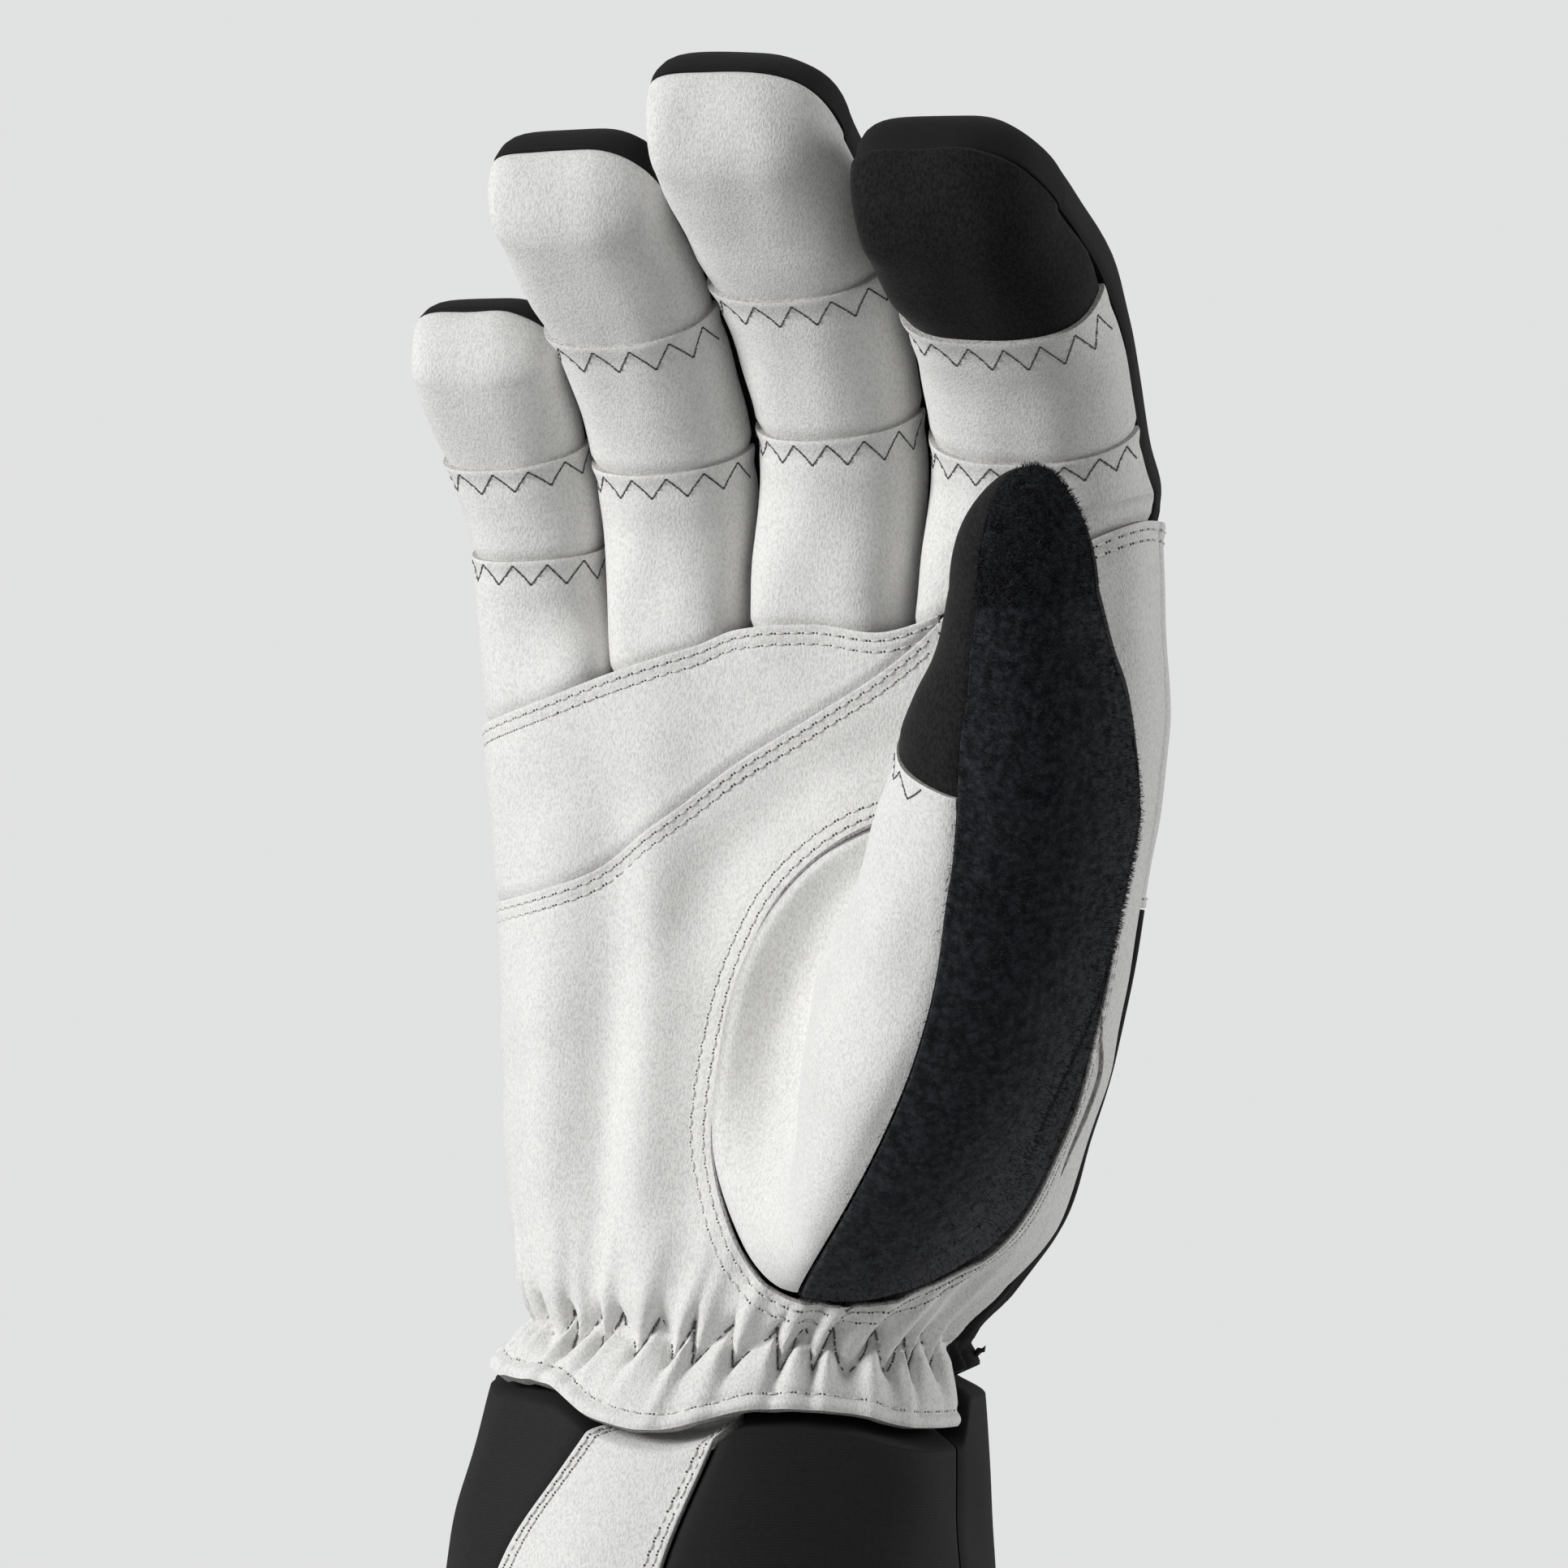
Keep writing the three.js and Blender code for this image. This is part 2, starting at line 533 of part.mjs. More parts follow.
// A closed wall under an outer surface: point(u, w) for u and w from 0 to 1 gives the outer side, and the inner
// side lies the wall's thickness under it. Each row has its share w and its count of columns. lift moves both
// sides outwards.
function wallGeometry(point, rows, wall, lift = 0) {
  const positions = [];
  const step = 1e-3;
  const lines = [0, 1].map((layer) =>
    rows.map(({ w, columns }) =>
      Array.from({ length: columns + 1 }, (_, i) => {
        const u = i / columns;
        const pu = point(Math.min(u + step, 1), w).sub(point(Math.max(u - step, 0), w));
        const pw = point(u, Math.min(w + step, 1)).sub(point(u, Math.max(w - step, 0)));
        const p = point(u, w).addScaledVector(pu.cross(pw).normalize(), lift - layer * wall);
        return positions.push(p.x, p.y, p.z) / 3 - 1;
      }),
    ),
  );
  const faces = [];
  const [outer, inner] = lines;
  for (let j = 0; j < rows.length - 1; j++) {
    fillStrip(faces, outer[j], outer[j + 1], false);
    fillStrip(faces, inner[j], inner[j + 1], true);
  }
  fillStrip(faces, inner[0], outer[0], false);
  fillStrip(faces, outer.at(-1), inner.at(-1), false);
  const side = (layer, at) => layer.map((line) => line.at(at));
  fillStrip(faces, side(outer, 0), side(inner, 0), false);
  fillStrip(faces, side(inner, -1), side(outer, -1), false);
  const geometry = new THREE.BufferGeometry();
  geometry.setAttribute("position", new THREE.Float32BufferAttribute(positions, 3));
  geometry.setIndex(faces);
  return geometry;
}

// Evenly spaced rows for wallGeometry.
const even = (columns, rows) => Array.from({ length: rows + 1 }, (_, j) => ({ w: j / rows, columns }));

const wasm = await Module();
wasm.setup();

function toSolid(geometry) {
  const merged = mergeVertices(geometry, 1e-4);
  return new wasm.Manifold(
    new wasm.Mesh({
      numProp: 3,
      vertProperties: merged.attributes.position.array,
      triVerts: new Uint32Array(merged.index.array),
    }),
  );
}

function toGeometry(solid) {
  const mesh = solid.getMesh();
  const geometry = new THREE.BufferGeometry();
  geometry.setAttribute("position", new THREE.BufferAttribute(mesh.vertProperties, 3));
  geometry.setIndex(new THREE.BufferAttribute(mesh.triVerts, 1));
  return geometry;
}

const whiteLeather = { color: 0xe6e5e1, roughness: 0.92, metalness: 0 };
const blackSoftshell = { color: 0x1b1b1d, roughness: 0.8, metalness: 0 };
const blackTouch = { color: 0x1d1c1c, roughness: 0.7, metalness: 0 };
const blackFleece = { color: 0x17191d, roughness: 1, metalness: 0 };
const cuffCloth = { color: 0x232325, roughness: 0.75, metalness: 0 };

const glove = new THREE.Group();
function addPiece(name, geometry, material) {
  const mesh = new THREE.Mesh(geometry, new THREE.MeshStandardMaterial(material));
  mesh.name = name;
  glove.add(mesh);
}

// Rows of a hand piece: many columns through the gathers, fewer above. The first quarter of w is the hem and the
// second the gathered band above the elastic.
const handPieceRows = (fine, coarse, upper) => [
  ...[0, 0.13, 0.25, 0.31, 0.39].map((w) => ({ w, columns: fine })),
  { w: 0.5, columns: (fine + coarse) >> 1 },
  ...Array.from({ length: upper }, (_, i) => ({ w: mix(0.5, 1, (i + 1) / upper), columns: coarse })),
];
function handRise(hem, elastic, top, w) {
  if (w < 0.25) return mix(hem, elastic, 4 * w);
  if (w < 0.5) return mix(elastic, elastic + gatherTop, 4 * w - 1);
  return mix(elastic + gatherTop, top, 2 * w - 1);
}
const thumbSideSeam = (z) => column(sideSeamRows, "up", "turn", (z - cuffHeight) / palmHeight);
const seamTop = sideSeamRows.at(-1).turn;

// Palm leather. The main piece runs from the hem to the slanting seam and on up to the index finger.
function palmMainPoint(u, w) {
  let turn = mix(pinkySideSeam, seamTop, u);
  let z = cuffHeight;
  for (let i = 0; i < 3; i++) {
    const top = Math.min(seamAt(turn, slantSeam) - seamGap / 2, seamAt(turn, fingerSeam) - fingerSeamGap / 2);
    z = handRise(palmHemHeight(turn), elasticHeight(smoothHandPoint(turn, cuffHeight).x), top, w);
    turn = mix(pinkySideSeam, seamTop, u) - (seamTop - thumbSideSeam(z)) * smooth(0.4, 1, u);
  }
  return handPoint(turn, z, mix(pinkySideSeam, seamTop, u));
}

// A plug that follows the hand's surface inside the rim of the thumb hole.
function holePlugPoint(u, w) {
  return holePoint(360 * u, mix(0.02, 1, w));
}

function holePlug() {
  const rings = [0, 0.3, 0.6, 1];
  const positions = [];
  const lines = [2 * leatherWall, -3 * leatherWall].map((lift) =>
    rings.map((w) =>
      Array.from({ length: holeSpokes }, (_, i) => {
        const u = i / holeSpokes;
        const turn = holePlugPoint(u + 0.01, w).sub(holePlugPoint(u - 0.01, w));
        const out = holePlugPoint(u, w + 0.01).sub(holePlugPoint(u, w - 0.01));
        const p = holePlugPoint(u, w).addScaledVector(out.cross(turn).normalize(), lift);
        return positions.push(p.x, p.y, p.z) / 3 - 1;
      }),
    ),
  );
  const faces = [];
  const [outer, inner] = lines.map((layer) => layer.map((line) => [...line, line[0]]));
  for (let j = 0; j < rings.length - 1; j++) {
    fillStrip(faces, outer[j + 1], outer[j], false);
    fillStrip(faces, inner[j + 1], inner[j], true);
  }
  fillStrip(faces, inner.at(-1), outer.at(-1), false);
  for (let i = 1; i < holeSpokes - 1; i++) {
    faces.push(outer[0][0], outer[0][i], outer[0][i + 1]);
    faces.push(inner[0][0], inner[0][i + 1], inner[0][i]);
  }
  const geometry = new THREE.BufferGeometry();
  geometry.setAttribute("position", new THREE.Float32BufferAttribute(positions, 3));
  geometry.setIndex(faces);
  return toSolid(geometry);
}

const palmSheet = toSolid(wallGeometry(palmMainPoint, handPieceRows(60, 24, 5), leatherWall));
addPiece("palm_main", toGeometry(palmSheet.subtract(holePlug())), whiteLeather);

// The angle round the palm side of the hand where x is reached on the finger seam.
function turnAcross(x) {
  let [low, high] = [-90, 90];
  for (let i = 0; i < 24; i++) {
    const turn = (low + high) / 2;
    if (smoothHandPoint(turn, seamAt(turn, fingerSeam)).x < x) low = turn;
    else high = turn;
  }
  return low;
}

// Where the slanting seam comes within a millimetre of the finger seam.
function slantEnd() {
  let x = 0;
  while (fingerSeam(x) - slantSeam(x) > 1 + seamGap) x += 0.25;
  return x;
}
const palmUpperEnd = turnAcross(slantEnd());
function palmUpperPoint(u, w) {
  const turn = mix(pinkySideSeam, palmUpperEnd, u);
  const low = seamAt(turn, slantSeam) + seamGap / 2;
  return handPoint(turn, mix(low, seamAt(turn, fingerSeam) - fingerSeamGap / 2, w));
}
addPiece("palm_upper", wallGeometry(palmUpperPoint, even(20, 2), leatherWall), whiteLeather);

// The patch on the index finger's side continues the palm leather, and the back is cut away for it.
const patchWith = (gap, turnGap, rise) => (u, w) => {
  const turn = mix(thumbSideSeam(cuffHeight + palmHeight) + sideSeamTurn - turnGap, patchTurn + turnGap, u);
  const low = cuffHeight + patchHeight - gap;
  return handPoint(turn, mix(low, seamAt(turn, fingerSeam) - fingerSeamGap / 2 + rise, w));
};
addPiece("index_side_patch", wallGeometry(patchWith(0, 0, 0), even(4, 4), leatherWall), whiteLeather);
const patchHole = wallGeometry(patchWith(seamGap, sideSeamTurn, 5), even(4, 4), 4 * softshellWall, softshellWall);

// Back of the hand: one softshell piece from the hem to the fingers.
function backPoint(u, w) {
  let turn = 180;
  let z = cuffHeight;
  for (let i = 0; i < 3; i++) {
    const top = seamAt(turn, fingerSeam) - fingerSeamGap / 2;
    z = handRise(backHemHeight, elasticHeight(smoothHandPoint(turn, cuffHeight).x), top, w);
    turn = mix(seamTop + sideSeamTurn, 360 + pinkySideSeam - sideSeamTurn, u);
    turn -= (seamTop - thumbSideSeam(z)) * smooth(0.6, 0, u);
  }
  return handPoint(turn, z, mix(seamTop, 360 + pinkySideSeam, u));
}
const backSheet = toSolid(wallGeometry(backPoint, handPieceRows(48, 20, 4), softshellWall));
addPiece("back_panel", toGeometry(backSheet.subtract(toSolid(patchHole))), blackSoftshell);

// Fingers: leather in three pieces on the palm side, and one softshell piece on the back and over the tip.
const sideStop = 0.993;
for (const finger of fingers) {
  const [lowSeam, highSeam] = fingerSeams[finger.name];
  const gap = seamGap / 2 / finger.length;
  const start = fingerSeamGap / 2 / finger.length;
  const pieces = [
    { part: finger.name === "index" ? "touch_tip" : "tip", from: highSeam + gap, to: 2, rows: 5 },
    { part: "middle", from: lowSeam + gap, to: highSeam - gap, rows: 2 },
    { part: "base", from: start, to: lowSeam - gap, rows: 3 },
  ];
  for (const { part, from, to, rows } of pieces) {
    const point = (u, w) => fingerPoint(finger, 1, sideStop * mix(-1, 1, u), mix(from, to, w));
    const material = part === "touch_tip" ? blackTouch : whiteLeather;
    addPiece(`${finger.name}_${part}`, wallGeometry(point, even(9, rows), leatherWall), material);
  }
  const backOf = (u, w) => fingerPoint(finger, -1, sideStop * mix(1, -1, u), mix(start, 2, w));
  addPiece(`${finger.name}_back`, wallGeometry(backOf, even(9, 10), softshellWall), blackSoftshell);
}

// Thumb: leather from the hole to the touch patch, the fleece pad outside, and softshell on the hidden side.
const thumbGap = seamGap / thumbLength;
const thumbLeather = (u, w) => thumbPoint(1, sideStop * mix(-1, 1, u), mix(-1, touchSeam - thumbGap, w));
addPiece("thumb_leather", wallGeometry(thumbLeather, even(14, 11), leatherWall), whiteLeather);
const touchTip = (u, w) => thumbPoint(1, sideStop * mix(-1, 1, u), mix(touchSeam, 2, w));
addPiece("thumb_touch_tip", wallGeometry(touchTip, even(10, 6), leatherWall), blackTouch);
const fleeceEdge = (v) => mix(fleeceRootEdge, fleeceBackEdge, smooth(-1, -0.1, v));
const fleecePoint = (u, w) => {
  const v = mix(-1, 2, w);
  return thumbPoint(-1, mix(sideStop, fleeceEdge(v) + fleeceGap, u), v);
};
addPiece("thumb_fleece", wallGeometry(fleecePoint, even(11, 13), fleeceWall), blackFleece);
const thumbBack = (u, w) => {
  const v = mix(thumbBackStart, 2, w);
  return thumbPoint(-1, mix(fleeceEdge(v) - fleeceGap, -sideStop, u), v);
};
addPiece("thumb_back", wallGeometry(thumbBack, even(4, 12), softshellWall), blackSoftshell);

// Cuff: three woven pieces and the leather strip, from the rim up to their hold under the elastic.
const cuffTop = elasticHeight(0) - 1;
function cuffRise(turn, w) {
  const hem = hemOverCuff(turn);
  if (w < 0.6) return mix(0, hem - cuffBlend, w / 0.6);
  if (w < 0.8) return mix(hem - cuffBlend, hem, 5 * w - 3);
  return mix(hem, cuffTop, 5 * w - 4);
}
const cuffLevels = [0, 0.2, 0.4, 0.6, 0.7, 0.8, 1];
const cuffEdge = (name, z) => column(cuffEdges[name], "up", "turn", z / cuffHeight);
function addCuffPiece(name, left, right, columns, material) {
  const wrapped = (turn) => (turn > 180 ? turn - 360 : turn);
  const point = (u, w) => {
    let z = cuffTop * w;
    let turn = 0;
    for (let i = 0; i < 3; i++) {
      const from = cuffEdge(left, z) + cuffSeamTurn / 2;
      const to = cuffEdge(right, z) - cuffSeamTurn / 2;
      turn = wrapped(mix(from, to < from ? to + 360 : to, u));
      z = cuffRise(turn, w);
    }
    return cuffPoint(turn, z);
  };
  const rows = cuffLevels.map((w) => ({ w, columns }));
  addPiece(name, wallGeometry(point, rows, cuffWall), material);
}
addCuffPiece("cuff_left", "left", "stripLeft", 4, cuffCloth);
addCuffPiece("cuff_strip", "stripLeft", "stripRight", 5, whiteLeather);
addCuffPiece("cuff_right", "stripRight", "right", 9, cuffCloth);
addCuffPiece("cuff_back", "right", "left", 18, cuffCloth);

export default glove;
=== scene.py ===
"""A ski touring glove for the right hand, dressed over its solid model.

White goat leather on the palm and the fingers' fronts, black softshell on the back, a fleece pad and a smooth
touch patch on the thumb, an elastic at the wrist and a knitted cuff under the ruffled hem. Lengths are in
millimetres until a mesh is made, and the frame is the model's: +Z to the fingertips, the palm faces -Y and the
thumb side is +X. An angle round the hand is in degrees, 0 at the palm and 90 on the thumb side.
"""
import math

import bpy
import numpy as np
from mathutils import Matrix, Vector


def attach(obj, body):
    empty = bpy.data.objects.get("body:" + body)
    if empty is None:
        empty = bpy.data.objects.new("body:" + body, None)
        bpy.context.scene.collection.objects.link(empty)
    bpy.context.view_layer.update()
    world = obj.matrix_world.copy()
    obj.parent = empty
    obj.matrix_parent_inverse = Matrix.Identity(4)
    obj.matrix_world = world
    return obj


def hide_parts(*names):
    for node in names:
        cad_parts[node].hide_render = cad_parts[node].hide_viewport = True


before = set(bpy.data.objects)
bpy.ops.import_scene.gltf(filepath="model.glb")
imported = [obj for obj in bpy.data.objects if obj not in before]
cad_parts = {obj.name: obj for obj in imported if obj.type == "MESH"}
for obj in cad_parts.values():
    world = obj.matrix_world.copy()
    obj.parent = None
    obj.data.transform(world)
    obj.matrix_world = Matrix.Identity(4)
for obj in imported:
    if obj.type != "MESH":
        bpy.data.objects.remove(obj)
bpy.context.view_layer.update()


# The leather of the palm: white goat leather with its nap outside, cut in two pieces and a patch that meet in lap
# seams. The big piece has an oval hole for the thumb and is gathered at the wrist by an elastic sewn on in zigzag.
MM = 0.001
palm_width, palm_depth, palm_height = 104, 38, 101
cuff_height = 79
seam_gap, finger_seam_gap, lap_over = 0.3, 0.7, 0.2
leather_wall = 1.8
hem_length, gather_depth, gather_reach, gather_top = 11, 0.7, 9, 19
pleats, broad_pleats, broad_share = 28, 17, 0.4
elastic_pinch, elastic_wide, elastic_slope = 1.6, 4, -0.055
zigzags, zigzag_height = 38, 2.5
pinky_side_seam = -100
hole_turn, hole_turn_reach, hole_height, hole_height_reach = 34.5, 41, 41, 36
hole_half_width, hole_lean, hole_square, hole_share = 26, 1.5, 2.3, 0.99
palm_girth, palm_tall, hem_band, plain_band = 165, 100, 20, 82
turned_in, lapped_over, row_places, hem_stitch_place = (-0.6, 1.6), (0.35, 3.6), (1.2, 2.8), 2.3


def table(names, *rows):
    """A table with named columns, one array for each."""
    return dict(zip(names.split(), np.array(rows, float).T))


hand_rows = table(
    "up middle wide front back square",
    (-0.13, 0.0, 0.785, 0.83, 0.79, 2.2),
    (0.0, 0.044, 0.675, 0.71, 0.69, 2.2),
    (0.06, 0.066, 0.72, 0.7, 0.68, 2.2),
    (0.16, 0.097, 0.808, 0.68, 0.66, 2.3),
    (0.28, 0.112, 0.856, 0.65, 0.63, 2.4),
    (0.4, 0.128, 0.897, 0.6, 0.61, 2.5),
    (0.63, 0.145, 0.946, 0.52, 0.58, 2.7),
    (0.87, 0.153, 1.0, 0.485, 0.55, 2.9),
    (1.0, 0.154, 0.99, 0.47, 0.51, 3.0),
    (1.2, 0.154, 0.985, 0.45, 0.47, 3.0),
)
finger_seam_rows = table(
    "across up",
    (-0.36, 0.868),
    (-0.23, 0.906),
    (-0.122, 0.944),
    (-0.02, 0.975),
    (0.03, 0.99),
    (0.085, 1.011),
    (0.2, 1.018),
    (0.317, 1.008),
    (0.48, 1.08),
    (0.605, 1.145),
    (0.65, 1.168),
)
slant_seam_rows = table(
    "across up",
    (-0.36, 0.608),
    (-0.155, 0.653),
    (-0.034, 0.73),
    (0.088, 0.82),
    (0.21, 0.891),
    (0.317, 0.96),
    (0.4, 1.04),
    (0.65, 1.4),
)
hem_rows = table(
    "turn down",
    (-100, 0.4),
    (-85, 0.35),
    (-56, 0.55),
    (-30, 0.63),
    (-15, 1.0),
    (2, 1.16),
    (20, 0.89),
    (42, 0.93),
    (60, 1.15),
    (100, 1.15),
)
side_seam_rows = table("up turn", (-0.14, 77), (-0.05, 79), (0.03, 86), (0.2, 97), (1.2, 97))
palm_folds = (
    dict(across=0.06, up=0.5, wide=0.14, tall=0.32, out=-2.2),
    dict(across=-0.29, up=0.4, wide=0.05, tall=0.34, out=-2.1),
    dict(across=-0.2, up=0.36, wide=0.05, tall=0.32, out=1.8),
    dict(across=-0.11, up=0.36, wide=0.045, tall=0.32, out=-2.6),
    dict(across=-0.03, up=0.4, wide=0.045, tall=0.34, out=2.2),
)


def mix(a, b, t):
    """a at t = 0 and b at t = 1, in a straight line."""
    return a + (b - a) * t


def smooth(low, high, x):
    """0 before low, 1 after high, and a soft S between them."""
    t = np.clip((x - low) / (high - low), 0, 1)
    return t * t * (3 - 2 * t)


def hump(x, wide):
    """A bell of height 1 at x = 0 that fades over about the given width."""
    return np.exp(-((x / wide) ** 2))


def column(rows, key, name, x):
    """One column of a table at x: a cubic between two rows, whose slope at each is that of its neighbours' chord."""
    keys, values = rows[key], rows[name]
    last = len(keys) - 1
    after, before = np.minimum(np.arange(last + 1) + 1, last), np.maximum(np.arange(last + 1) - 1, 0)
    slopes = (values[after] - values[before]) / (keys[after] - keys[before])
    i = np.clip(np.searchsorted(keys, x, side="left") - 1, 0, last - 1)
    span = keys[i + 1] - keys[i]
    t = np.clip((x - keys[i]) / span, 0, 1)
    t2, t3 = t * t, t * t * t
    ends = values[i] * (2 * t3 - 3 * t2 + 1) + values[i + 1] * (3 * t2 - 2 * t3)
    return ends + span * (slopes[i] * (t3 - 2 * t2 + t) + slopes[i + 1] * (t3 - t2))


def superellipse(angle, power):
    """The point of |x|^n + |y|^n = 1 at an angle in degrees from +y towards +x."""
    s, c = np.sin(np.radians(angle)), np.cos(np.radians(angle))
    reach = (np.abs(s) ** power + np.abs(c) ** power) ** (-1 / power)
    return s * reach, c * reach


def xyz(x, y, z):
    """Three arrays of coordinates as one array of points."""
    return np.stack(np.broadcast_arrays(x, y, z), -1).astype(float)


def unit(v):
    """Vectors of length 1."""
    return v / np.maximum(np.linalg.norm(v, axis=-1, keepdims=True), 1e-12)


def elastic_height(x):
    """The elastic's height at x: a straight line that falls a little towards the thumb side."""
    return cuff_height + elastic_slope * x


def finger_seam(x):
    """The height at x of the seam at the fingers' roots, from its table."""
    return cuff_height + palm_height * column(finger_seam_rows, "across", "up", x / palm_width)


def slant_seam(x):
    """The height at x of the slanting seam, from its table, and never over the seam at the fingers' roots."""
    high = cuff_height + palm_height * column(slant_seam_rows, "across", "up", x / palm_width)
    return np.minimum(high, finger_seam(x))


def hand_point(turn, z, pleat_turn=None, folds=True):
    """The hand's surface at an angle round it and a height: a superellipse whose width, depth and middle come from
    the table of sections, with the pleats of the gathered wrist and the palm's broad folds along its normal."""
    up = (z - cuff_height) / palm_height
    ex, ey = superellipse(turn, column(hand_rows, "up", "square", up))
    half = palm_width / 2 * column(hand_rows, "up", "wide", up)
    front, back = (palm_depth * column(hand_rows, "up", name, up) for name in ("front", "back"))
    deep = np.where(ey > 0, front, back)
    x = half * ex + palm_width * column(hand_rows, "up", "middle", up)
    point = xyz(x, -deep * ey, z)
    if not folds:
        return point
    pleat_turn = turn if pleat_turn is None else pleat_turn
    above = z - elastic_height(x)
    fade = np.where(above > 0, np.exp(-above / gather_reach) * smooth(gather_top, 0.8 * gather_top, above), 1)
    fade = fade * mix(0.2, 1, smooth(0, 6, above))
    wave = np.cos(np.radians(pleat_turn) * pleats) + broad_share * np.cos(np.radians(pleat_turn) * broad_pleats)
    relief = gather_depth * fade * wave - elastic_pinch * hump(above, elastic_wide)
    for fold in palm_folds:
        across = hump(x / palm_width - fold["across"], fold["wide"])
        relief += fold["out"] * np.maximum(ey, 0) * across * hump(up - fold["up"], fold["tall"])
    return point + unit(xyz(ex / half, -ey / deep, 0)) * relief[..., None]


def seam_at(turn, seam):
    """The height where a line up the hand meets a seam whose height depends on x, found by stepping towards it."""
    z = np.full(np.shape(turn), float(cuff_height + palm_height))
    for _ in range(8):
        z = mix(z, seam(hand_point(turn, z, folds=False)[..., 0]), 0.8)
    return z


def hand_rise(hem, elastic, top, w):
    """Height at share w: the first quarter is the hem, the second the gathers and the rest the plain leather."""
    low = mix(hem, elastic, 4 * w)
    middle = mix(elastic, elastic + gather_top, 4 * w - 1)
    return np.where(w < 0.25, low, np.where(w < 0.5, middle, mix(elastic + gather_top, top, 2 * w - 1)))


def palm_hem(turn):
    """The height of the hem's edge at an angle: the table's share of the hem's length, under the wrist."""
    return cuff_height - hem_length * column(hem_rows, "turn", "down", turn)


def thumb_side_seam(z):
    """The angle of the side seam on the thumb side at a height, from its table."""
    return column(side_seam_rows, "up", "turn", (z - cuff_height) / palm_height)


seam_top = float(side_seam_rows["turn"][-1])


def palm_main_place(u, w):
    """Angle, height and pleat angle of the big palm piece: even in angle, drawn in towards the wrist on its right."""
    even = mix(pinky_side_seam, seam_top, u)
    turn = even
    for _ in range(3):
        top = np.minimum(seam_at(turn, slant_seam), seam_at(turn, finger_seam)) + lap_over
        elastic = elastic_height(hand_point(turn, cuff_height + 0 * turn, folds=False)[..., 0])
        z = hand_rise(palm_hem(turn), elastic, top, w)
        turn = even - (seam_top - thumb_side_seam(z)) * smooth(0.4, 1, u)
    return turn, z, even


def unevenness(points, size, seed):
    """A gentle disorder from -1 to 1: the mean of cosine waves in drawn directions, each about a size long."""
    draw = np.random.default_rng(seed)
    waves = unit(draw.normal(size=(14, 3))) / (size * draw.uniform(0.75, 1.5, (14, 1)))
    phases = draw.uniform(0, 2 * np.pi, 14)
    return np.cos(2 * np.pi * points @ waves.T + phases).sum(-1) / 5


def zigzag_turns(turn):
    """How many zigzags lie before an angle round the wrist: in proportion to it, with two sine waves of disorder."""
    return turn * zigzags / 360 + 0.16 * np.sin(0.21 * turn) + 0.1 * np.sin(0.53 * turn)


def zigzag(turns, height):
    """A zigzag of this half height, highest at each whole turn."""
    return height * (4 * np.abs(turns % 1 - 0.5) - 1)


def elastic_puffs(turn, above):
    """Relief of the sewn elastic: a sharp groove along the zigzag thread, and a pleat for each zigzag that stands
    out over its low points above the thread and over its high points below it, and fades both ways."""
    turns = zigzag_turns(turn)
    away = (above - zigzag(turns, zigzag_height)) * 0.5
    pleat = np.cos(2 * np.pi * turns) * (1 - 2 * smooth(-2.2, 2.2, above))
    fade = np.where(above > 0, np.exp(-above / 7), np.exp(above / 6))
    return 0.75 * pleat * fade - 0.75 * hump(away, 0.5) - 0.6 * hump(away, 1.3)


def lines(size, spacing, near=(0.15, 0.5, 1.0)):
    """Shares from 0 to 1 along a side of this size: even steps, with closer lines next to both ends."""
    steps = max(int(round((size - 2 * near[-1]) / spacing)), 2)
    inner = np.linspace(near[-1], size - near[-1], steps + 1)
    edge = np.array((0,) + near[:-1])
    return np.concatenate([edge, inner, size - edge[::-1]]) / size


def banded(hem, gathers, plain):
    """Shares up a piece from the lines of its hem, its gathers and the rest: the first two take a quarter each."""
    return np.concatenate([hem[:-1] * 0.25, mix(0.25, 0.5, gathers[3:-3]), mix(0.5, 1, plain[1:])])


def lap(distance, rise, fade, bevel=0.12):
    """Rise of leather next to an edge: it fades over a distance, and the cut edge itself is slightly rounded."""
    return rise * (1 - smooth(0, fade, distance)) - bevel * (1 - smooth(0, 0.3, distance))


def both_laps(share, size, rise, fade, bevel=0.12):
    """The same rise next to both side edges of a piece, from the share across it and its width."""
    return lap(share * size, rise, fade, bevel) + lap((1 - share) * size, rise, fade, bevel)


def grid_faces(shape):
    """Four-sided faces between the neighbouring points of a grid."""
    k = np.arange(shape[0] * shape[1]).reshape(shape)
    return np.stack([k[:-1, :-1], k[:-1, 1:], k[1:, 1:], k[1:, :-1]], -1)


def grid_normals(point):
    """Normals of a grid of points: the cross product of its steps across and its steps up."""
    return unit(np.cross(np.gradient(point, axis=1), np.gradient(point, axis=0)))


def raised_sheet(point, normal, relief, faces, u, w):
    """A sheet as lists: points raised along their normals, the normals, the faces, and the shares of each point."""
    point = point + normal * np.broadcast_to(relief, u.shape)[..., None]
    return point.reshape(-1, 3), normal.reshape(-1, 3), faces.reshape(-1, 4), np.stack([u, w], -1).reshape(-1, 2)


def skin(surface, across, up, relief):
    """A sheet from a surface of two shares on a grid. A normal is the cross product of small steps both ways."""
    u, w = np.meshgrid(across, up)
    step = 1e-3
    beside = surface(np.minimum(u + step, 1), w) - surface(np.maximum(u - step, 0), w)
    ahead = surface(u, np.minimum(w + step, 1)) - surface(u, np.maximum(w - step, 0))
    point, normal = surface(u, w), unit(np.cross(beside, ahead))
    return raised_sheet(point, normal, relief(u, w, point), grid_faces(u.shape), u, w)


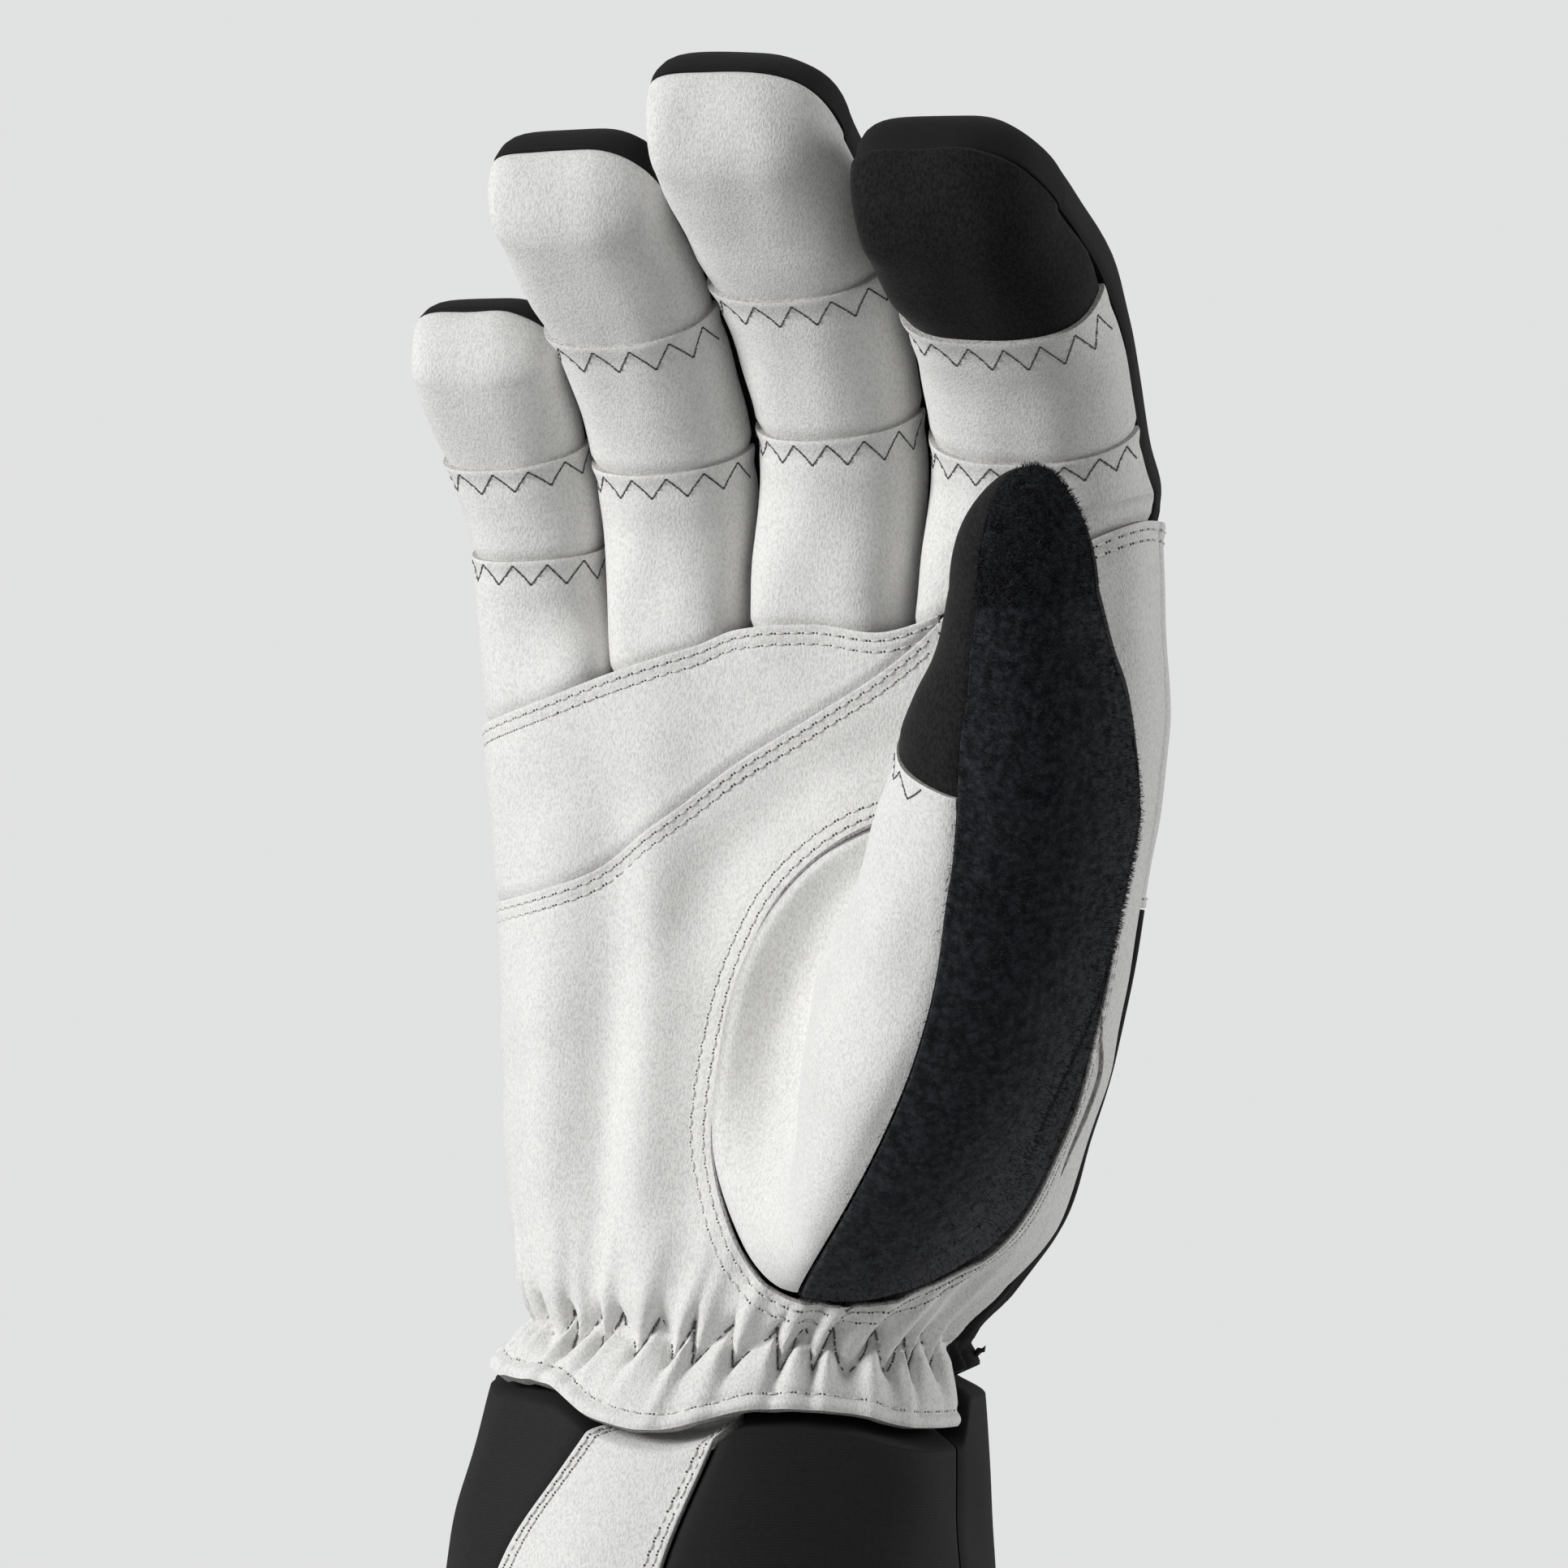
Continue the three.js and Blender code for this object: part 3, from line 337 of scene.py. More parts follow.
def new_mesh(name, points, quads, triangles=None, material_index=None, uv=None):
    """A mesh object with its place in its mesh, from arrays of points in millimetres and of faces."""
    triangles = np.zeros((0, 3), int) if triangles is None else triangles
    mesh = bpy.data.meshes.new(name)
    mesh.vertices.add(len(points))
    mesh.vertices.foreach_set("co", (points * MM).astype(np.float32).ravel())
    corners = np.concatenate([quads.ravel(), triangles.ravel()]).astype(np.int32)
    mesh.loops.add(len(corners))
    mesh.loops.foreach_set("vertex_index", corners)
    starts = np.concatenate([4 * np.arange(len(quads)), 4 * len(quads) + 3 * np.arange(len(triangles))])
    mesh.polygons.add(len(starts))
    mesh.polygons.foreach_set("loop_start", starts.astype(np.int32))
    if material_index is not None:
        mesh.polygons.foreach_set("material_index", material_index.astype(np.int32))
    mesh.update(calc_edges=True)
    if uv is not None:
        layer = mesh.uv_layers.new(name="cloth")
        layer.data.foreach_set("uv", uv[corners].astype(np.float32).ravel())
    mesh.shade_smooth()
    mesh.set_sharp_from_angle(angle=math.radians(52))
    piece = bpy.data.objects.new(name, mesh)
    bpy.context.scene.collection.objects.link(piece)
    return piece


def border_edges(faces, count):
    """The two vertices of each edge with a face on one side only, among this count of vertices."""
    a, b = faces.ravel(), np.roll(faces, -1, axis=1).ravel()
    border = ~np.isin(a * count + b, b * count + a)
    return a[border], b[border]


def cloth_wall(name, sheet, wall, size):
    """A closed wall: the sheet outside, its copy a wall's thickness under it, and a rim that joins their borders."""
    points, normals, faces, share = sheet
    count = len(points)
    a, b = border_edges(faces, count)
    rim = np.stack([b, a, a + count, b + count], -1)
    quads = np.concatenate([faces, faces[:, ::-1] + count, rim])
    index = np.repeat([0, 0, 1], [len(faces), len(faces), len(rim)])
    both = np.concatenate([points, points - normals * wall])
    used = np.zeros(2 * count, bool)
    used[quads] = True
    renumber = np.cumsum(used) - 1
    uv = np.concatenate([share, share])[used] * np.array(size) * MM
    return new_mesh(name, both[used], renumber[quads], material_index=index, uv=uv)


def fasten(piece, slot, *materials):
    """Gives a piece its materials, the second for cut rims or for the painted shade of needle holes, and lets it ride
    on the hand.
    """
    for material in materials:
        piece.data.materials.append(material)
    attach(piece, "root")


def dress(name, node, slot, sheet, wall, size, *materials):
    """A wall of cloth made from a sheet, which stands for its solid."""
    piece = cloth_wall(name, sheet, wall, size)
    fasten(piece, slot, *materials)
    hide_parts(node)


def hole_radius(turn, z):
    """How far out from the middle of the thumb hole a place is, as a share of the hole's rim, and its direction."""
    y = (z - cuff_height - hole_height) / hole_height_reach
    x = (turn - hole_turn - hole_lean * y) / hole_turn_reach
    return (np.abs(x) ** hole_square + np.abs(y) ** hole_square) ** (1 / hole_square), x, y


def hole_place(angle, share=1.0):
    """Angle and height on the thumb hole's rim, or at a share of it: a leaning superellipse, 0 towards the thumb
    side and 90 towards the fingers."""
    ex, ey = superellipse(90 - angle, hole_square)
    turn = hole_turn + share * (hole_turn_reach * ex + hole_lean * ey)
    return turn, cuff_height + hole_height + share * hole_height_reach * ey


def new_node(tree, kind, inputs=None, **settings):
    """A shader node with its settings, and its inputs joined to sockets or set to values."""
    made = tree.nodes.new(kind)
    for key, value in settings.items():
        setattr(made, key, value)
    for key, value in (inputs or {}).items():
        if isinstance(value, bpy.types.NodeSocket):
            tree.links.new(value, made.inputs[key])
        else:
            made.inputs[key].default_value = value
    return made


def maths(tree, operation, *values, **settings):
    """The result of a math node on these values."""
    return new_node(tree, "ShaderNodeMath", dict(enumerate(values)), operation=operation, **settings).outputs[0]


def ranged(tree, value, low, high, **settings):
    """0 where a value is at low or less, 1 where it is at high or more, and its share between."""
    inputs = {"Value": value, "From Min": low, "From Max": high}
    return new_node(tree, "ShaderNodeMapRange", inputs, **settings).outputs[0]


def noise(tree, place, scale, detail, **inputs):
    """A noise texture's outputs: its value, then its colour."""
    return new_node(
        tree, "ShaderNodeTexNoise", {"Vector": place, "Scale": scale, "Detail": detail, **inputs}
    ).outputs


def pattern_group(name, *values):
    """An empty shader group that takes a Place and these values and gives Shade and Height, and its inner sockets."""
    tree = bpy.data.node_groups.new(name, "ShaderNodeTree")
    tree.interface.new_socket(name="Place", in_out="INPUT", socket_type="NodeSocketVector")
    for key in values:
        tree.interface.new_socket(name=key, in_out="INPUT", socket_type="NodeSocketFloat")
    for key in ("Shade", "Height"):
        tree.interface.new_socket(name=key, in_out="OUTPUT", socket_type="NodeSocketFloat")
    return tree, new_node(tree, "NodeGroupInput").outputs, new_node(tree, "NodeGroupOutput").inputs


def nap_pattern():
    """Short nap: a fine noise drawn out along the hand for the fibres, over a wider one for patches that lie
    another way. Shade is 0 in the pits and 1 on the tips: the nap's own speckle with painted shade in its pits."""
    tree, given, made = pattern_group("nap", "Fibres", "Patches", "Contrast")
    drawn = new_node(tree, "ShaderNodeVectorMath", {0: given["Place"], 1: (1, 1, 0.55)}, operation="MULTIPLY")
    fibres = noise(tree, drawn.outputs[0], given["Fibres"], 3.0, Roughness=0.62, Distortion=0.35)[0]
    patches = noise(tree, given["Place"], given["Patches"], 2.0)[0]
    # darker where the fibres' noise is low: painted shade in the pits of the nap, over its own speckle
    pits = ranged(tree, fibres, 0.36, 0.6, interpolation_type="SMOOTHSTEP")
    shade = ranged(tree, maths(tree, "MULTIPLY_ADD", patches, 0.3, pits), 0.05, 1.2)
    tree.links.new(maths(tree, "POWER", shade, given["Contrast"], use_clamp=True), made["Shade"])
    tree.links.new(fibres, made["Height"])
    return tree


def material_with(name, **sockets):
    """A new material, its node tree and its Principled shader with the given sockets set."""
    material = bpy.data.materials.new(name)
    material.use_nodes = True
    tree = material.node_tree
    shader = tree.nodes["Principled BSDF"]
    for key, value in sockets.items():
        shader.inputs[key.replace("_", " ")].default_value = value
    return material, tree, shader


def patterned(name, group, dark, light, bump, values, on_cloth=False, **sockets):
    """A material from a pattern group, on the piece's own UV map for a knit and on object coordinates for the rest:
    Shade mixes its dark colour to its light one, and Height is a bump of a given distance and strength."""
    material, tree, shader = material_with(name, **sockets)
    if on_cloth:
        place = new_node(tree, "ShaderNodeUVMap", uv_map="cloth").outputs[0]
    else:
        place = new_node(tree, "ShaderNodeTexCoord").outputs["Object"]
    pattern = new_node(tree, "ShaderNodeGroup", {"Place": place, **values}, node_tree=group).outputs
    colour = new_node(tree, "ShaderNodeMix", {0: pattern["Shade"], 6: (*dark, 1), 7: (*light, 1)}, data_type="RGBA")
    raised = new_node(tree, "ShaderNodeBump", {"Height": pattern["Height"], "Distance": bump[0], "Strength": bump[1]})
    tree.links.new(colour.outputs[2], shader.inputs["Base Color"])
    tree.links.new(raised.outputs[0], shader.inputs["Normal"])
    return material


nap = nap_pattern()
white_leather = patterned(
    "white_leather", nap, (0.6, 0.595, 0.58), (0.82, 0.815, 0.795), (0.00028, 0.6),
    dict(Fibres=3200.0, Patches=300.0, Contrast=0.6),
    Roughness=0.95, Sheen_Weight=0.12, Sheen_Roughness=0.45, Specular_IOR_Level=0.15,
)
cut_edge = patterned(
    "cut_leather_edge", nap, (0.3, 0.295, 0.28), (0.62, 0.61, 0.59), (0.0002, 0.5),
    dict(Fibres=3000.0, Patches=400.0, Contrast=0.8),
    Roughness=1.0, Specular_IOR_Level=0.1,
)
# the raw cut edge's own dark colour, which on the flap beside the thumb hole also paints the shadow in its slit
raw_edge = patterned(
    "raw_leather_edge_and_slit_shadow", nap, (0.16, 0.155, 0.15), (0.42, 0.41, 0.4), (0.0003, 0.6),
    dict(Fibres=3000.0, Patches=400.0, Contrast=0.9),
    Roughness=1.0, Specular_IOR_Level=0.1,
)


def leather(name, node, sheet, size, rim=cut_edge):
    """A piece of white leather, whose cut rim shows the darker core."""
    dress(name, node, "white_leather", sheet, leather_wall, size, white_leather, rim)


def sewn_rows(distance):
    """The two grooves that a double row of stitches pulls into the leather next to an edge."""
    return -0.16 * (hump(distance - row_places[0], 0.45) + hump(distance - row_places[1], 0.45))


def palm_main():
    """The big palm piece: a grid in angle and height, less the faces inside the thumb hole. The vertices left on
    the hole's border are drawn on to its rim."""
    up = banded(lines(hem_band, 0.65), lines(gather_top, 0.55), lines(plain_band, 1.0))
    u, w = np.meshgrid(lines(palm_girth, 0.56), up)
    turn, z, even = palm_main_place(u, w)
    radius, x, y = hole_radius(turn, z)
    faces = grid_faces(u.shape).reshape(-1, 4)
    faces = faces[radius.ravel()[faces].mean(1) > 1]
    near = np.zeros(u.size, bool)
    near[border_edges(faces, u.size)[0]] = True
    near = near.reshape(u.shape) & (radius < 1.15)
    x, y = np.where(near, x / radius, x), np.where(near, y / radius, y)
    z = np.where(near, cuff_height + hole_height + hole_height_reach * y, z)
    turn = np.where(near, hole_turn + hole_turn_reach * x + hole_lean * y, turn)
    point = hand_point(turn, z, even)
    radius, x, y = hole_radius(turn, z)
    from_hole = (radius - 1) * np.hypot(hole_half_width * x, hole_height_reach * y) / np.maximum(radius, 0.1)
    above, over_hem = z - elastic_height(point[..., 0]), z - palm_hem(turn)
    from_seam = slant_seam(point[..., 0]) + lap_over - z
    relief = elastic_puffs(turn, above) + 0.3 * unevenness(point, 14, 3) * smooth(0, 8, above)
    relief += lap(from_seam, 0.3, 3.6) + sewn_rows(from_seam)
    relief += lap(from_hole, 0.35, 4.0) + sewn_rows(from_hole)
    # a hollow beside the hole's upper left, a dip across the band on its right, and the roll of the hem
    relief -= 1.3 * hump(from_hole - 9, 5) * smooth(0.3, -0.6, x) * smooth(-0.5, 0.5, y)
    relief -= 0.5 * hump(turn - 78, 4) * hump(z - cuff_height - 36, 9)
    relief += 0.35 * hump(over_hem - 0.9, 0.9) - 0.3 * (1 - smooth(0, 0.5, over_hem))
    relief -= 0.3 * hump(over_hem - hem_stitch_place, 0.6)
    relief += both_laps(u, palm_girth, *turned_in)
    return raised_sheet(point, grid_normals(point), relief, faces, u, w)


palm_sheet = palm_main()
leather("palm_main_leather", "palm_main", palm_sheet, (palm_girth, palm_tall), raw_edge)


def turn_across(x):
    """The angle round the palm where x is reached on the finger seam, by halving."""
    low, high = -90.0, 90.0
    for _ in range(24):
        turn = (low + high) / 2
        at = hand_point(np.array(turn), seam_at(np.array(turn), finger_seam), folds=False)[0]
        low, high = (turn, high) if at < x else (low, turn)
    return low


upper_size, patch_size = (95, 28), (18, 55)
patch_turn, patch_height, side_seam_turn = 126, 62, 1.5
slant_end = 0.0
while finger_seam(slant_end) - slant_seam(slant_end) > 1 + seam_gap:
    slant_end += 0.25
palm_upper_end = turn_across(slant_end)


def palm_upper(u, w):
    """The palm piece between the slanting seam and the fingers, even in angle and in height."""
    turn = mix(pinky_side_seam, palm_upper_end, u)
    low = seam_at(turn, slant_seam) + seam_gap / 2
    return hand_point(turn, mix(low, seam_at(turn, finger_seam) + lap_over, w))


def palm_upper_relief(u, w, point):
    """It slips under the big piece below and laps over the fingers' leather above."""
    over = point[..., 2] - slant_seam(point[..., 0])
    under = finger_seam(point[..., 0]) + lap_over - point[..., 2]
    relief = lap(over, -0.55, 2.2) + lap(under, *lapped_over) + sewn_rows(under)
    return relief + 0.3 * unevenness(point, 14, 3) + lap(u * upper_size[0], *turned_in)


upper = skin(palm_upper, lines(upper_size[0], 0.75), lines(upper_size[1], 0.7), palm_upper_relief)
leather("palm_upper_leather", "palm_upper", upper, upper_size)


def side_patch(u, w):
    """The patch on the index finger's side, from the side seam to its own edge on the back."""
    turn = mix(seam_top + side_seam_turn, patch_turn, u)
    low = cuff_height + patch_height
    return hand_point(turn, mix(low, seam_at(turn, finger_seam) + lap_over, w))


def side_patch_relief(u, w, point):
    """It laps over the finger's leather at its top and the back at its lower and outer edges."""
    wide, tall = patch_size
    under = finger_seam(point[..., 0]) + lap_over - point[..., 2]
    relief = lap(under, *lapped_over) + sewn_rows(under) + lap(w * tall, 0.3, 2) + lap((1 - u) * wide, 0.3, 2)
    return relief + lap(u * wide, *turned_in) + 0.25 * unevenness(point, 14, 3)


patch = skin(side_patch, lines(patch_size[0], 0.7), lines(patch_size[1], 0.7), side_patch_relief)
leather("index_side_patch_leather", "index_side_patch", patch, patch_size)


# The stitches of the palm: light thread in double rows along the laps and round the thumb hole, one row along the
# hem, and a grey zigzag that holds the elastic. Each stitch dips at both ends into a needle hole, whose shade is
# painted as a small dark lens.
def settle(places, sheet):
    """Places on a sheet: each moves along the smooth normal of its nearest vertex, on to that vertex's plane."""
    points, normals, _, share = sheet
    columns = int(np.argmax(share[:, 1] > share[0, 1]))
    grid = points.reshape(-1, columns, 3)
    raised = grid_normals(grid).reshape(-1, 3)
    nearest = np.concatenate(
        [
            np.argmin((points**2).sum(-1) - 2 * places[i : i + 200] @ points.T, axis=1)
            for i in range(0, len(places), 200)
        ]
    )
    smooth_normal, normal = normals[nearest], raised[nearest]
    slant = np.maximum((smooth_normal * normal).sum(-1, keepdims=True), 0.4)
    rise = ((points[nearest] - places) * normal).sum(-1, keepdims=True) / slant
    return places + smooth_normal * rise, unit(smooth_normal + normal)


def along_line(line, run, *places):
    """The points of a line at each of some arrays of places, from the run of the line at its own points."""
    return tuple(np.stack([np.interp(at, run, line[:, k]) for k in range(3)], -1) for at in places)


def stitch_ends(line, pitch=2.1, length=1.55):
    """The two ends of each stitch along a line of close points, by its arc length."""
    run = np.concatenate([[0], np.cumsum(np.linalg.norm(np.diff(line, axis=0), axis=-1))])
    start = np.arange(0.3, run[-1] - length, pitch)
    return along_line(line, run, start, start + length)


def closed_rings(centres, radii, normal):
    """Six-sided tubes through centres (tube, ring, xyz), closed by a point at each end. Gives points and faces."""
    along = unit(centres[:, -1] - centres[:, 0])
    side = unit(np.cross(along, normal))
    rise = np.cross(side, along)
    angle = np.arange(6) * np.pi / 3
    round_ = np.cos(angle)[:, None] * side[:, None, None] + np.sin(angle)[:, None] * rise[:, None, None]
    rings = centres[:, 1:-1, None] + round_ * np.asarray(radii)[None, :, None, None]
    count, levels = len(centres), rings.shape[1]
    points = np.concatenate([centres[:, :1], rings.reshape(count, -1, 3), centres[:, -1:]], 1)
    k, nxt = np.arange(6), (np.arange(6) + 1) % 6
    base = 1 + 6 * np.arange(levels - 1)[:, None]
    quads = np.stack([base + k, base + nxt, base + 6 + nxt, base + 6 + k], -1).reshape(-1, 4)
    last = 1 + 6 * (levels - 1)
    first_fan, last_fan = np.stack([0 * k, nxt + 1, k + 1], -1), np.stack([0 * k + last + 6, last + k, last + nxt], -1)
    ends = np.concatenate([first_fan, last_fan])
    shift = (np.arange(count) * (6 * levels + 2))[:, None, None]
    return points.reshape(-1, 3), (quads + shift).reshape(-1, 4), (ends + shift).reshape(-1, 3)


def sew(name, slot, thread, sheet, stitches, radius=0.17, rise=0.16, hole=0.22):
    """One object with all the stitches of some rows: each thread rises as half a sine between its ends, and a
    flat dark lens at each end is painted shade for the needle's hole."""
    first, last = (np.concatenate([pair[i] for pair in stitches]) for i in (0, 1))
    (first, normal), (last, end_normal) = settle(first, sheet), settle(last, sheet)
    normal = unit(normal + end_normal)
    share = np.array([0, 0.1, 0.35, 0.65, 0.9, 1])[None, :, None]
    height = rise * np.sin(np.pi * share) - 0.16 * (1 - np.sin(np.pi * share))
    centres = first[:, None] + (last - first)[:, None] * share + normal[:, None] * height
    points, quads, triangles = closed_rings(centres, radius * np.array([0.75, 1, 1, 0.75]), normal)
    ends = np.concatenate([first, last])
    up = np.concatenate([normal, normal])
    # the dark lenses at the stitch ends are painted shade for the needle holes
    middle = ends[:, None] + up[:, None] * np.array([-0.12, 0.02, 0.05])[None, :, None]
    side = unit(np.concatenate([last - first, first - last]))
    pit, _, pit_triangles = closed_rings(middle, np.array([hole]), side)
    index = np.repeat([0, 0, 1], [len(quads), len(triangles), len(pit_triangles)])
    triangles = np.concatenate([triangles, pit_triangles + len(points)])
    fasten(new_mesh(name, np.concatenate([points, pit]), quads, triangles, index), slot, thread, needle_hole)


light_thread = material_with("light_thread", Base_Color=(0.68, 0.67, 0.64, 1), Roughness=0.7)[0]
grey_thread = material_with("grey_thread", Base_Color=(0.09, 0.088, 0.085, 1), Roughness=0.7)[0]
black_thread = material_with("black_thread", Base_Color=(0.006, 0.006, 0.006, 1), Roughness=0.7)[0]
# a dark colour painted as the shade inside the needle holes
needle_hole = material_with("needle_hole", Base_Color=(0.06, 0.058, 0.055, 1), Roughness=1.0)[0]
# hole is the radius of the dark lens painted as shade in each needle hole
elastic_seam, finger_zigzag = dict(radius=0.14, rise=0.12, hole=0.2), dict(radius=0.13, rise=0.1, hole=0.2)


def sew_rows(name, sheet, rows):
    """Light stitches along some lines of close points on a sheet."""
    sew(name, "white_leather", light_thread, sheet, [stitch_ends(row) for row in rows])


def seam_row(turns, seam, place):
    """The line on the hand at a distance under the edge that laps over a seam."""
    return hand_point(turns, seam_at(turns, seam) + lap_over - place)


slant_turns = np.linspace(pinky_side_seam + 2, palm_upper_end, 800)
index_turns = np.linspace(palm_upper_end, seam_top - 1, 300)
hem_turns = np.linspace(pinky_side_seam + 2, thumb_side_seam(cuff_height - 9.0) - 1, 900)
patch_turns = np.linspace(seam_top + side_seam_turn + 1, patch_turn - 1, 200)
around = np.linspace(0, 360, 1200)
ex, ey = superellipse(90 - around, hole_square)
rim_radius = np.hypot(hole_half_width * ex, hole_height_reach * ey)
palm_rows = []
for place in row_places:
    palm_rows.append(seam_row(slant_turns, slant_seam, place))
    palm_rows.append(seam_row(index_turns, finger_seam, place))
    palm_rows.append(hand_point(*hole_place(around, 1 + place / rim_radius)))
palm_rows.append(hand_point(hem_turns, palm_hem(hem_turns) + hem_stitch_place))
sew_rows("palm_stitches", palm_sheet, palm_rows)
sew_rows("palm_upper_stitches", upper, [seam_row(slant_turns, finger_seam, place) for place in row_places])
patch_rows = [seam_row(patch_turns, finger_seam, place) for place in row_places]
patch_rows.append(hand_point(patch_turns, cuff_height + patch_height + 1.3 + 0 * patch_turns))
sew_rows("side_patch_stitches", patch, patch_rows)


def zigzag_ends(line, turns, dashes=3):
    """The ends of the stitches on each leg of a zigzag, evenly along it, from the zigzags before each point."""
    legs = np.arange(math.ceil(turns[0] * 2), math.floor(turns[-1] * 2))
    start = (legs[:, None] + (np.arange(dashes) + 0.12) / dashes).ravel() / 2
    return along_line(line, turns, start, start + 0.38 / dashes)


def elastic_line(first, last):
    """The zigzag of the elastic's thread on the hand between two angles round it, and its count of zigzags."""
    turn = np.linspace(first, last, 6000)
    turns = zigzag_turns(turn)
    z = cuff_height + 0 * turn
    for _ in range(4):
        z = elastic_height(hand_point(turn, z, folds=False)[..., 0]) + zigzag(turns, zigzag_height)
    return hand_point(turn, z), turns


rows = [zigzag_ends(*elastic_line(pinky_side_seam + 1, thumb_side_seam(cuff_height) - 1), 4)]
sew("elastic_zigzag_palm", "white_leather", grey_thread, palm_sheet, rows, **elastic_seam)


# The raw edge of the leather round the thumb hole shows as a thin dark line. It is a closed six-sided ring that
# lies on the rim.
rim_count, rim_thick, rim_sunk = 360, 0.3, 0.12
rim_line, rim_normal = settle(hand_point(*hole_place(np.arange(rim_count))), palm_sheet)
rim_side = unit(np.cross(np.roll(rim_line, -1, 0) - np.roll(rim_line, 1, 0), rim_normal))
spoke = (np.arange(6) * np.pi / 3)[None, :, None]
spoke = np.cos(spoke) * rim_side[:, None] + np.sin(spoke) * rim_normal[:, None]
rim_ring = (rim_line - rim_sunk * rim_normal)[:, None] + rim_thick * spoke
k = np.arange(6 * rim_count).reshape(rim_count, 6)
ahead = np.roll(k, -1, 0)
rim_faces = np.stack([k, np.roll(k, -1, 1), np.roll(ahead, -1, 1), ahead], -1).reshape(-1, 4)
fasten(new_mesh("thumb_hole_raw_edge", rim_ring.reshape(-1, 3), rim_faces), "white_leather", raw_edge)


# The edging beside the thumb hole ends on the thumb side in a loose flap over a slit, which shows as a dark curved
# line over the side of the hand: the flap's raw edge and painted shadow in the slit. It is one thin closed tube in the
# raw edge's dark colour, half sunk in the leather.
flap_rows = table("up turn", (23, 79), (29, 81), (34, 83), (38.5, 84), (43, 80.5), (48.5, 73))
up = np.linspace(flap_rows["up"][0], flap_rows["up"][-1], 40)
flap_line, flap_normal = settle(hand_point(column(flap_rows, "up", "turn", up), cuff_height + up), palm_sheet)
thick = 0.45 * np.sqrt(np.sin(np.pi * np.linspace(0.02, 0.98, 38)))
# a dark tube that paints the shadow in the slit beside the flap, together with the flap's raw edge
flap = new_mesh("hole_flap_edge_and_slit_shadow", *closed_rings(flap_line[None], thick, flap_normal[20:21]))
fasten(flap, "white_leather", raw_edge)


# The back of the hand: one piece of black softshell, a smooth stretch weave bonded to a thin lining, from the hem
# over the elastic to the fingers, cut away for the leather patch on the index finger's side.
softshell_wall, back_hem, back_size = 2.0, 0.45, (190, 110)


def knit_pattern():
    """A fine diagonal knit on a piece's own UV map, in metres: two crossing sets of sine ribs with a little
    disorder. Height is 1 on a loop and 0 between them. Shade is Height times a noise: the knit's own tone, and
    painted shade between the loops."""
    tree, given, made = pattern_group("knit", "Pitch", "Lean")
    across, up = new_node(tree, "ShaderNodeSeparateXYZ", {0: given["Place"]}).outputs[:2]
    turns = maths(tree, "DIVIDE", 2 * math.pi, given["Pitch"])
    wander = maths(tree, "MULTIPLY", noise(tree, given["Place"], 900.0, 1.0)[0], 0.15)
    lean = maths(tree, "MULTIPLY", up, given["Lean"])
    ribs = []
    for sign in (1.0, -1.0):
        phase = maths(tree, "MULTIPLY_ADD", maths(tree, "MULTIPLY_ADD", lean, sign, across), turns, wander)
        ribs.append(maths(tree, "SINE", phase))
    height = maths(tree, "MULTIPLY_ADD", maths(tree, "MULTIPLY", *ribs), 0.5, 0.5, use_clamp=True)
    # the knit's colour follows its Height: painted shade between the loops, over a noise of its own tone
    shade = maths(tree, "MULTIPLY", height, noise(tree, given["Place"], 1500.0, 2.0)[0], use_clamp=True)
    tree.links.new(height, made["Height"])
    tree.links.new(shade, made["Shade"])
    return tree


knit = knit_pattern()
softshell = patterned(
    "black_softshell", knit, (0.004, 0.004, 0.0043), (0.016, 0.016, 0.0165), (0.00008, 0.5),
    dict(Pitch=0.0005, Lean=0.7), on_cloth=True,
    Roughness=0.75, Sheen_Weight=0.04, Sheen_Roughness=0.5, Specular_IOR_Level=0.2,
)


def back_place(u, w):
    """Angle, height and pleat angle of the back, which follows the palm leather's side seam on the thumb side."""
    turn = np.full(np.shape(u), 180.0)
    for _ in range(3):
        top = seam_at(turn, finger_seam) - finger_seam_gap / 2
        elastic = elastic_height(hand_point(turn, cuff_height + 0 * turn, folds=False)[..., 0])
        z = hand_rise(cuff_height - hem_length * back_hem, elastic, top, w)
        turn = mix(seam_top + side_seam_turn, 360 + pinky_side_seam - side_seam_turn, u)
        turn = turn - (seam_top - thumb_side_seam(z)) * smooth(0.6, 0, u)
    return turn, z, mix(seam_top, 360 + pinky_side_seam, u)


def back_panel():
    """The back as a grid, less the corner under the patch. The lines next to that corner are moved on to it."""
    notch = (patch_turn - seam_top) / (360 + pinky_side_seam - seam_top - 2 * side_seam_turn)
    size = back_size[0]
    across = np.concatenate([lines(size * notch, 1.0)[:-1] * notch, mix(notch, 1, lines(size * (1 - notch), 1.0))])
    up = banded(lines(10, 0.95), lines(gather_top, 0.8), lines(80, 1.0))
    u, w = np.meshgrid(across, up)
    turn, z, even = back_place(u, w)
    low = cuff_height + patch_height - seam_gap
    row = int(np.argmin(np.abs(z[:, 0] - low)))
    last = int(np.searchsorted(across, notch))
    near = np.clip(1 - np.abs(np.arange(len(up)) - row) / 6, 0, 1)[:, None]
    hold = smooth(last + 12, last, np.arange(len(across)))[None]
    z = z + (low - z[row]) * near * hold
    faces = grid_faces(u.shape)
    keep = np.ones(faces.shape[:2], bool)
    keep[row:, :last] = False
    point = hand_point(turn, z, even)
    above = z - elastic_height(point[..., 0])
    relief = elastic_puffs(turn, above) * 0.8 + 0.3 * unevenness(point, 18, 5) * smooth(0, 8, above)
    relief += both_laps(u, size, *turned_in) + lap((1 - w) * 160, -0.4, 1.6)
    return raised_sheet(point, grid_normals(point), relief, faces[keep], u, w)


